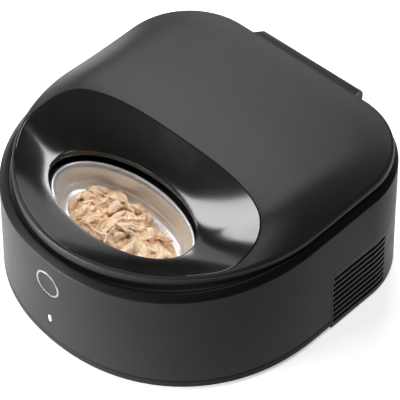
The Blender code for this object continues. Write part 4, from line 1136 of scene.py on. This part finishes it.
def torn_surface(data):
    """Welds the flakes into one torn mass and gives it fibres and tones, with painted shade that
    darkens its hollows.
    """
    rough = mesh_object("food_rough", data, 80)
    weld = rough.modifiers.new("weld", "REMESH")
    weld.mode = "VOXEL"
    weld.voxel_size = FOOD_VOXEL * MM
    bpy.context.view_layer.update()
    graph = bpy.context.evaluated_depsgraph_get()
    mesh = bpy.data.meshes.new_from_object(rough.evaluated_get(graph))
    bpy.data.objects.remove(rough, do_unlink=True)
    count = len(mesh.vertices)
    flat = np.empty(count * 3)
    mesh.vertices.foreach_get("co", flat)
    points = flat.reshape(-1, 3) / MM
    mesh.vertices.foreach_get("normal", flat)
    normals = flat.reshape(-1, 3).copy()
    pairs = np.empty(len(mesh.edges) * 2, dtype=int)
    mesh.edges.foreach_get("vertices", pairs)
    pairs = pairs.reshape(-1, 2)
    degree = np.zeros(count)
    np.add.at(degree, pairs[:, 0], 1)
    np.add.at(degree, pairs[:, 1], 1)

    def smoothed(values, rounds):
        for _ in range(rounds):
            total = values.copy()
            np.add.at(total, pairs[:, 0], values[pairs[:, 1]])
            np.add.at(total, pairs[:, 1], values[pairs[:, 0]])
            values = total / (degree + 1)[:, None]
        return values

    points = smoothed(points.copy(), 1)
    fibre = np.empty(count)
    for i, (x, y, z) in enumerate(points):
        patch = noise.noise(Vector((x * 0.045, y * 0.045, 7.3)))
        turn = 0.7 + 5.5 * patch
        along = x * math.cos(turn) + y * math.sin(turn)
        across = y * math.cos(turn) - x * math.sin(turn)
        fine = noise.noise(Vector((along * 0.06, across * 0.55, z * 0.3)))
        crumb = noise.noise(Vector((x * 0.42, y * 0.42, z * 0.42)))
        fibre[i] = fine + 0.25 * crumb
    lifted = points + normals * (0.75 * fibre)[:, None]
    for i, (x, y, z) in enumerate(lifted):
        up = max(z - FOOD_FLOOR, 0.2)
        kx, ky = kept_inside(x, y - HOLE_Y - SHIFT_MM, up)
        lifted[i] = (kx, ky + HOLE_Y + SHIFT_MM, up + FOOD_FLOOR)
    # Painted shade: how far each point lies below its smoothed self marks the hollows, which get a
    # lower tint and so the ramp's deep brown; the fibre noise that raises the surface also
    # lightens it, and broad noise varies the food's own tone
    painted_hollow_shade = ((lifted - smoothed(lifted.copy(), 14)) * normals).sum(axis=1)
    broad = np.array([noise.noise(Vector((x * 0.06, y * 0.06, 1.7))) for x, y, _ in lifted])
    tint = np.clip(0.66 + 0.5 * painted_hollow_shade + 0.3 * fibre + 0.2 * broad, 0, 1)
    mesh.vertices.foreach_set("co", (lifted * MM).ravel())
    mesh.attributes.new("tint", "FLOAT", "POINT").data.foreach_set("value", tint)
    mesh.name = "food_shreds"
    mesh.update()
    heap = bpy.data.objects.new("food_shreds", mesh)
    bpy.context.scene.collection.objects.link(heap)
    mesh.shade_smooth()
    return heap


def food():
    rand = random.Random(11)
    data = bmesh.new()
    heap_body(data)
    for count, lengths, widths, thicks, lifts in FLAKES:
        for _ in range(count):
            a = rand.uniform(0, 2 * math.pi)
            r = math.sqrt(rand.uniform(0, 1))
            centre = (62 * r * math.cos(a), 27 * r * math.sin(a) - 1)
            length = rand.uniform(*lengths)
            width = rand.uniform(*widths)
            thick = rand.uniform(*thicks)
            heading = rand.gauss(0.9, 0.9)
            # Nothing uses this draw, but every draw after it depends on it
            rand.gauss(0.6, 0.18)
            lift = rand.uniform(*lifts)
            flake(data, rand, centre, heading, length, width, thick, lift)
    heap = torn_surface(data)
    stand_for(heap, food_material(), "carousel", "food_portion")


food()


# Button and light


def button():
    ring_profile = [
        (13.6, 0.0),
        (14.1, -0.08),
        (14.5, -0.5),
        (14.5, -8.0),
        (13.5, -8.0),
        (13.5, -2.7),
        (12.3, -2.7),
        (12.3, -0.5),
        (12.6, -0.08),
        (12.9, 0.0),
    ]
    place = (0, -front_at(BUTTON_Z), BUTTON_Z)
    collar = turned("button_ring_skin", ring_profile, 128, place)
    stand_for(collar, "ring", "housing", "button_ring")
    cap_profile = [
        (0, -0.32),
        (6, -0.28),
        (9.5, -0.17),
        (11.2, -0.06),
        (11.7, -0.12),
        (12.0, -0.45),
        (12.0, -3.0),
        (13.2, -3.0),
        (13.2, -4.0),
        (3.0, -4.0),
        (3.0, -12.2),
        (0, -12.2),
    ]
    cap = turned("button_cap_skin", cap_profile, 128, place)
    stand_for(cap, "body", "button", "button_cap")
    face = front_at(LAMP_Z)
    pipe = pill_block("light_pipe_skin", 0.0, -face, 15 - face)
    stand_for(pipe, "light", "housing", "status_light_pipe")


button()


# Studio


def floor_material():
    made, tree, shader = new_material("studio_floor")
    coords = add(tree, "ShaderNodeTexCoord")
    cloud = add(tree, "ShaderNodeTexNoise", Scale=3.0, Detail=2.0)
    tree.links.new(coords.outputs["Object"], cloud.inputs["Vector"])
    tint = ramp(tree, cloud.outputs["Fac"], [(0.3, (0.93, 0.93, 0.93)), (0.7, (0.95, 0.95, 0.95))])
    tree.links.new(tint.outputs["Color"], shader.inputs["Base Color"])
    tree.links.new(tint.outputs["Color"], shader.inputs["Emission Color"])
    shader.inputs["Emission Strength"].default_value = 0.52
    shader.inputs["Roughness"].default_value = 0.9
    shader.inputs["Specular IOR Level"].default_value = 0.1
    return made


# Softboxes: name, place, size, power and the point that each is aimed at
SOFTBOXES = (
    ("lid_box", (-0.75, 0.78, 1.25), (0.7, 0.7), 14, (0, 0, 0.08)),
    ("rear_box", (-0.94, 0.73, 0.92), (1.0, 0.5), 1.6, (0, 0, 0.08)),
    ("scoop_box", (-0.887, -0.3, 0.784), (0.43, 0.3), 3.4, (0.085, -0.04, 0.13)),
    ("rim_box", (-0.5, 1.1, 0.52), (0.7, 0.3), 0.6, (0, 0, 0.08)),
    ("left_box", (-1.2, 0.62, 0.2), (0.5, 0.3), 2.0, (0, 0, 0.1)),
    ("front_box", (-0.55, -1.2, 0.16), (0.9, 0.25), 60, (0, -0.05, 0.05)),
    ("top_box", (0.35, 0.05, 1.5), (0.4, 0.4), 8, (0, 0, 0.08)),
)


def softbox(name, place, size, power, look_at):
    light = bpy.data.lights.new(name, "AREA")
    light.shape = "RECTANGLE"
    light.size, light.size_y = size
    light.energy = power
    obj = bpy.data.objects.new(name, light)
    bpy.context.scene.collection.objects.link(obj)
    obj.location = place
    direction = Vector(look_at) - Vector(place)
    obj.rotation_euler = direction.to_track_quat("-Z", "Y").to_euler()


def studio():
    data = bmesh.new()
    bmesh.ops.create_grid(data, x_segments=2, y_segments=2, size=6.0)
    ground = mesh_object("studio_floor", data)
    dress(ground, floor_material())
    for box in SOFTBOXES:
        softbox(*box)
    world = bpy.data.worlds.new("studio")
    bpy.context.scene.world = world
    world.use_nodes = True
    background = world.node_tree.nodes["Background"]
    background.inputs["Color"].default_value = (1, 1, 1, 1)
    background.inputs["Strength"].default_value = 0.07
    bpy.context.scene.view_settings.view_transform = "Standard"


# The camera's picture, focal length and axis in pixels, and its sensor in millimetres
PICTURE, FOCAL, AXIS_X, AXIS_Y, SENSOR = 400, 1441.654, 184.6, 245.74, 36


def camera():
    azimuth, elevation, distance = math.radians(45.05), math.radians(47.58), 1.4032
    back = Vector(
        (
            math.sin(azimuth) * math.cos(elevation),
            -math.cos(azimuth) * math.cos(elevation),
            math.sin(elevation),
        )
    )
    data = bpy.data.cameras.new("camera")
    data.sensor_width = SENSOR
    data.lens = FOCAL / PICTURE * SENSOR
    data.shift_x = (PICTURE / 2 - AXIS_X) / PICTURE
    data.shift_y = (AXIS_Y - PICTURE / 2) / PICTURE
    obj = bpy.data.objects.new("camera", data)
    bpy.context.scene.collection.objects.link(obj)
    obj.location = back * distance + Vector((0, SHIFT, 0))
    obj.rotation_euler = (-back).to_track_quat("-Z", "Y").to_euler()
    bpy.context.scene.camera = obj


studio()
camera()

bpy.context.view_layer.update()
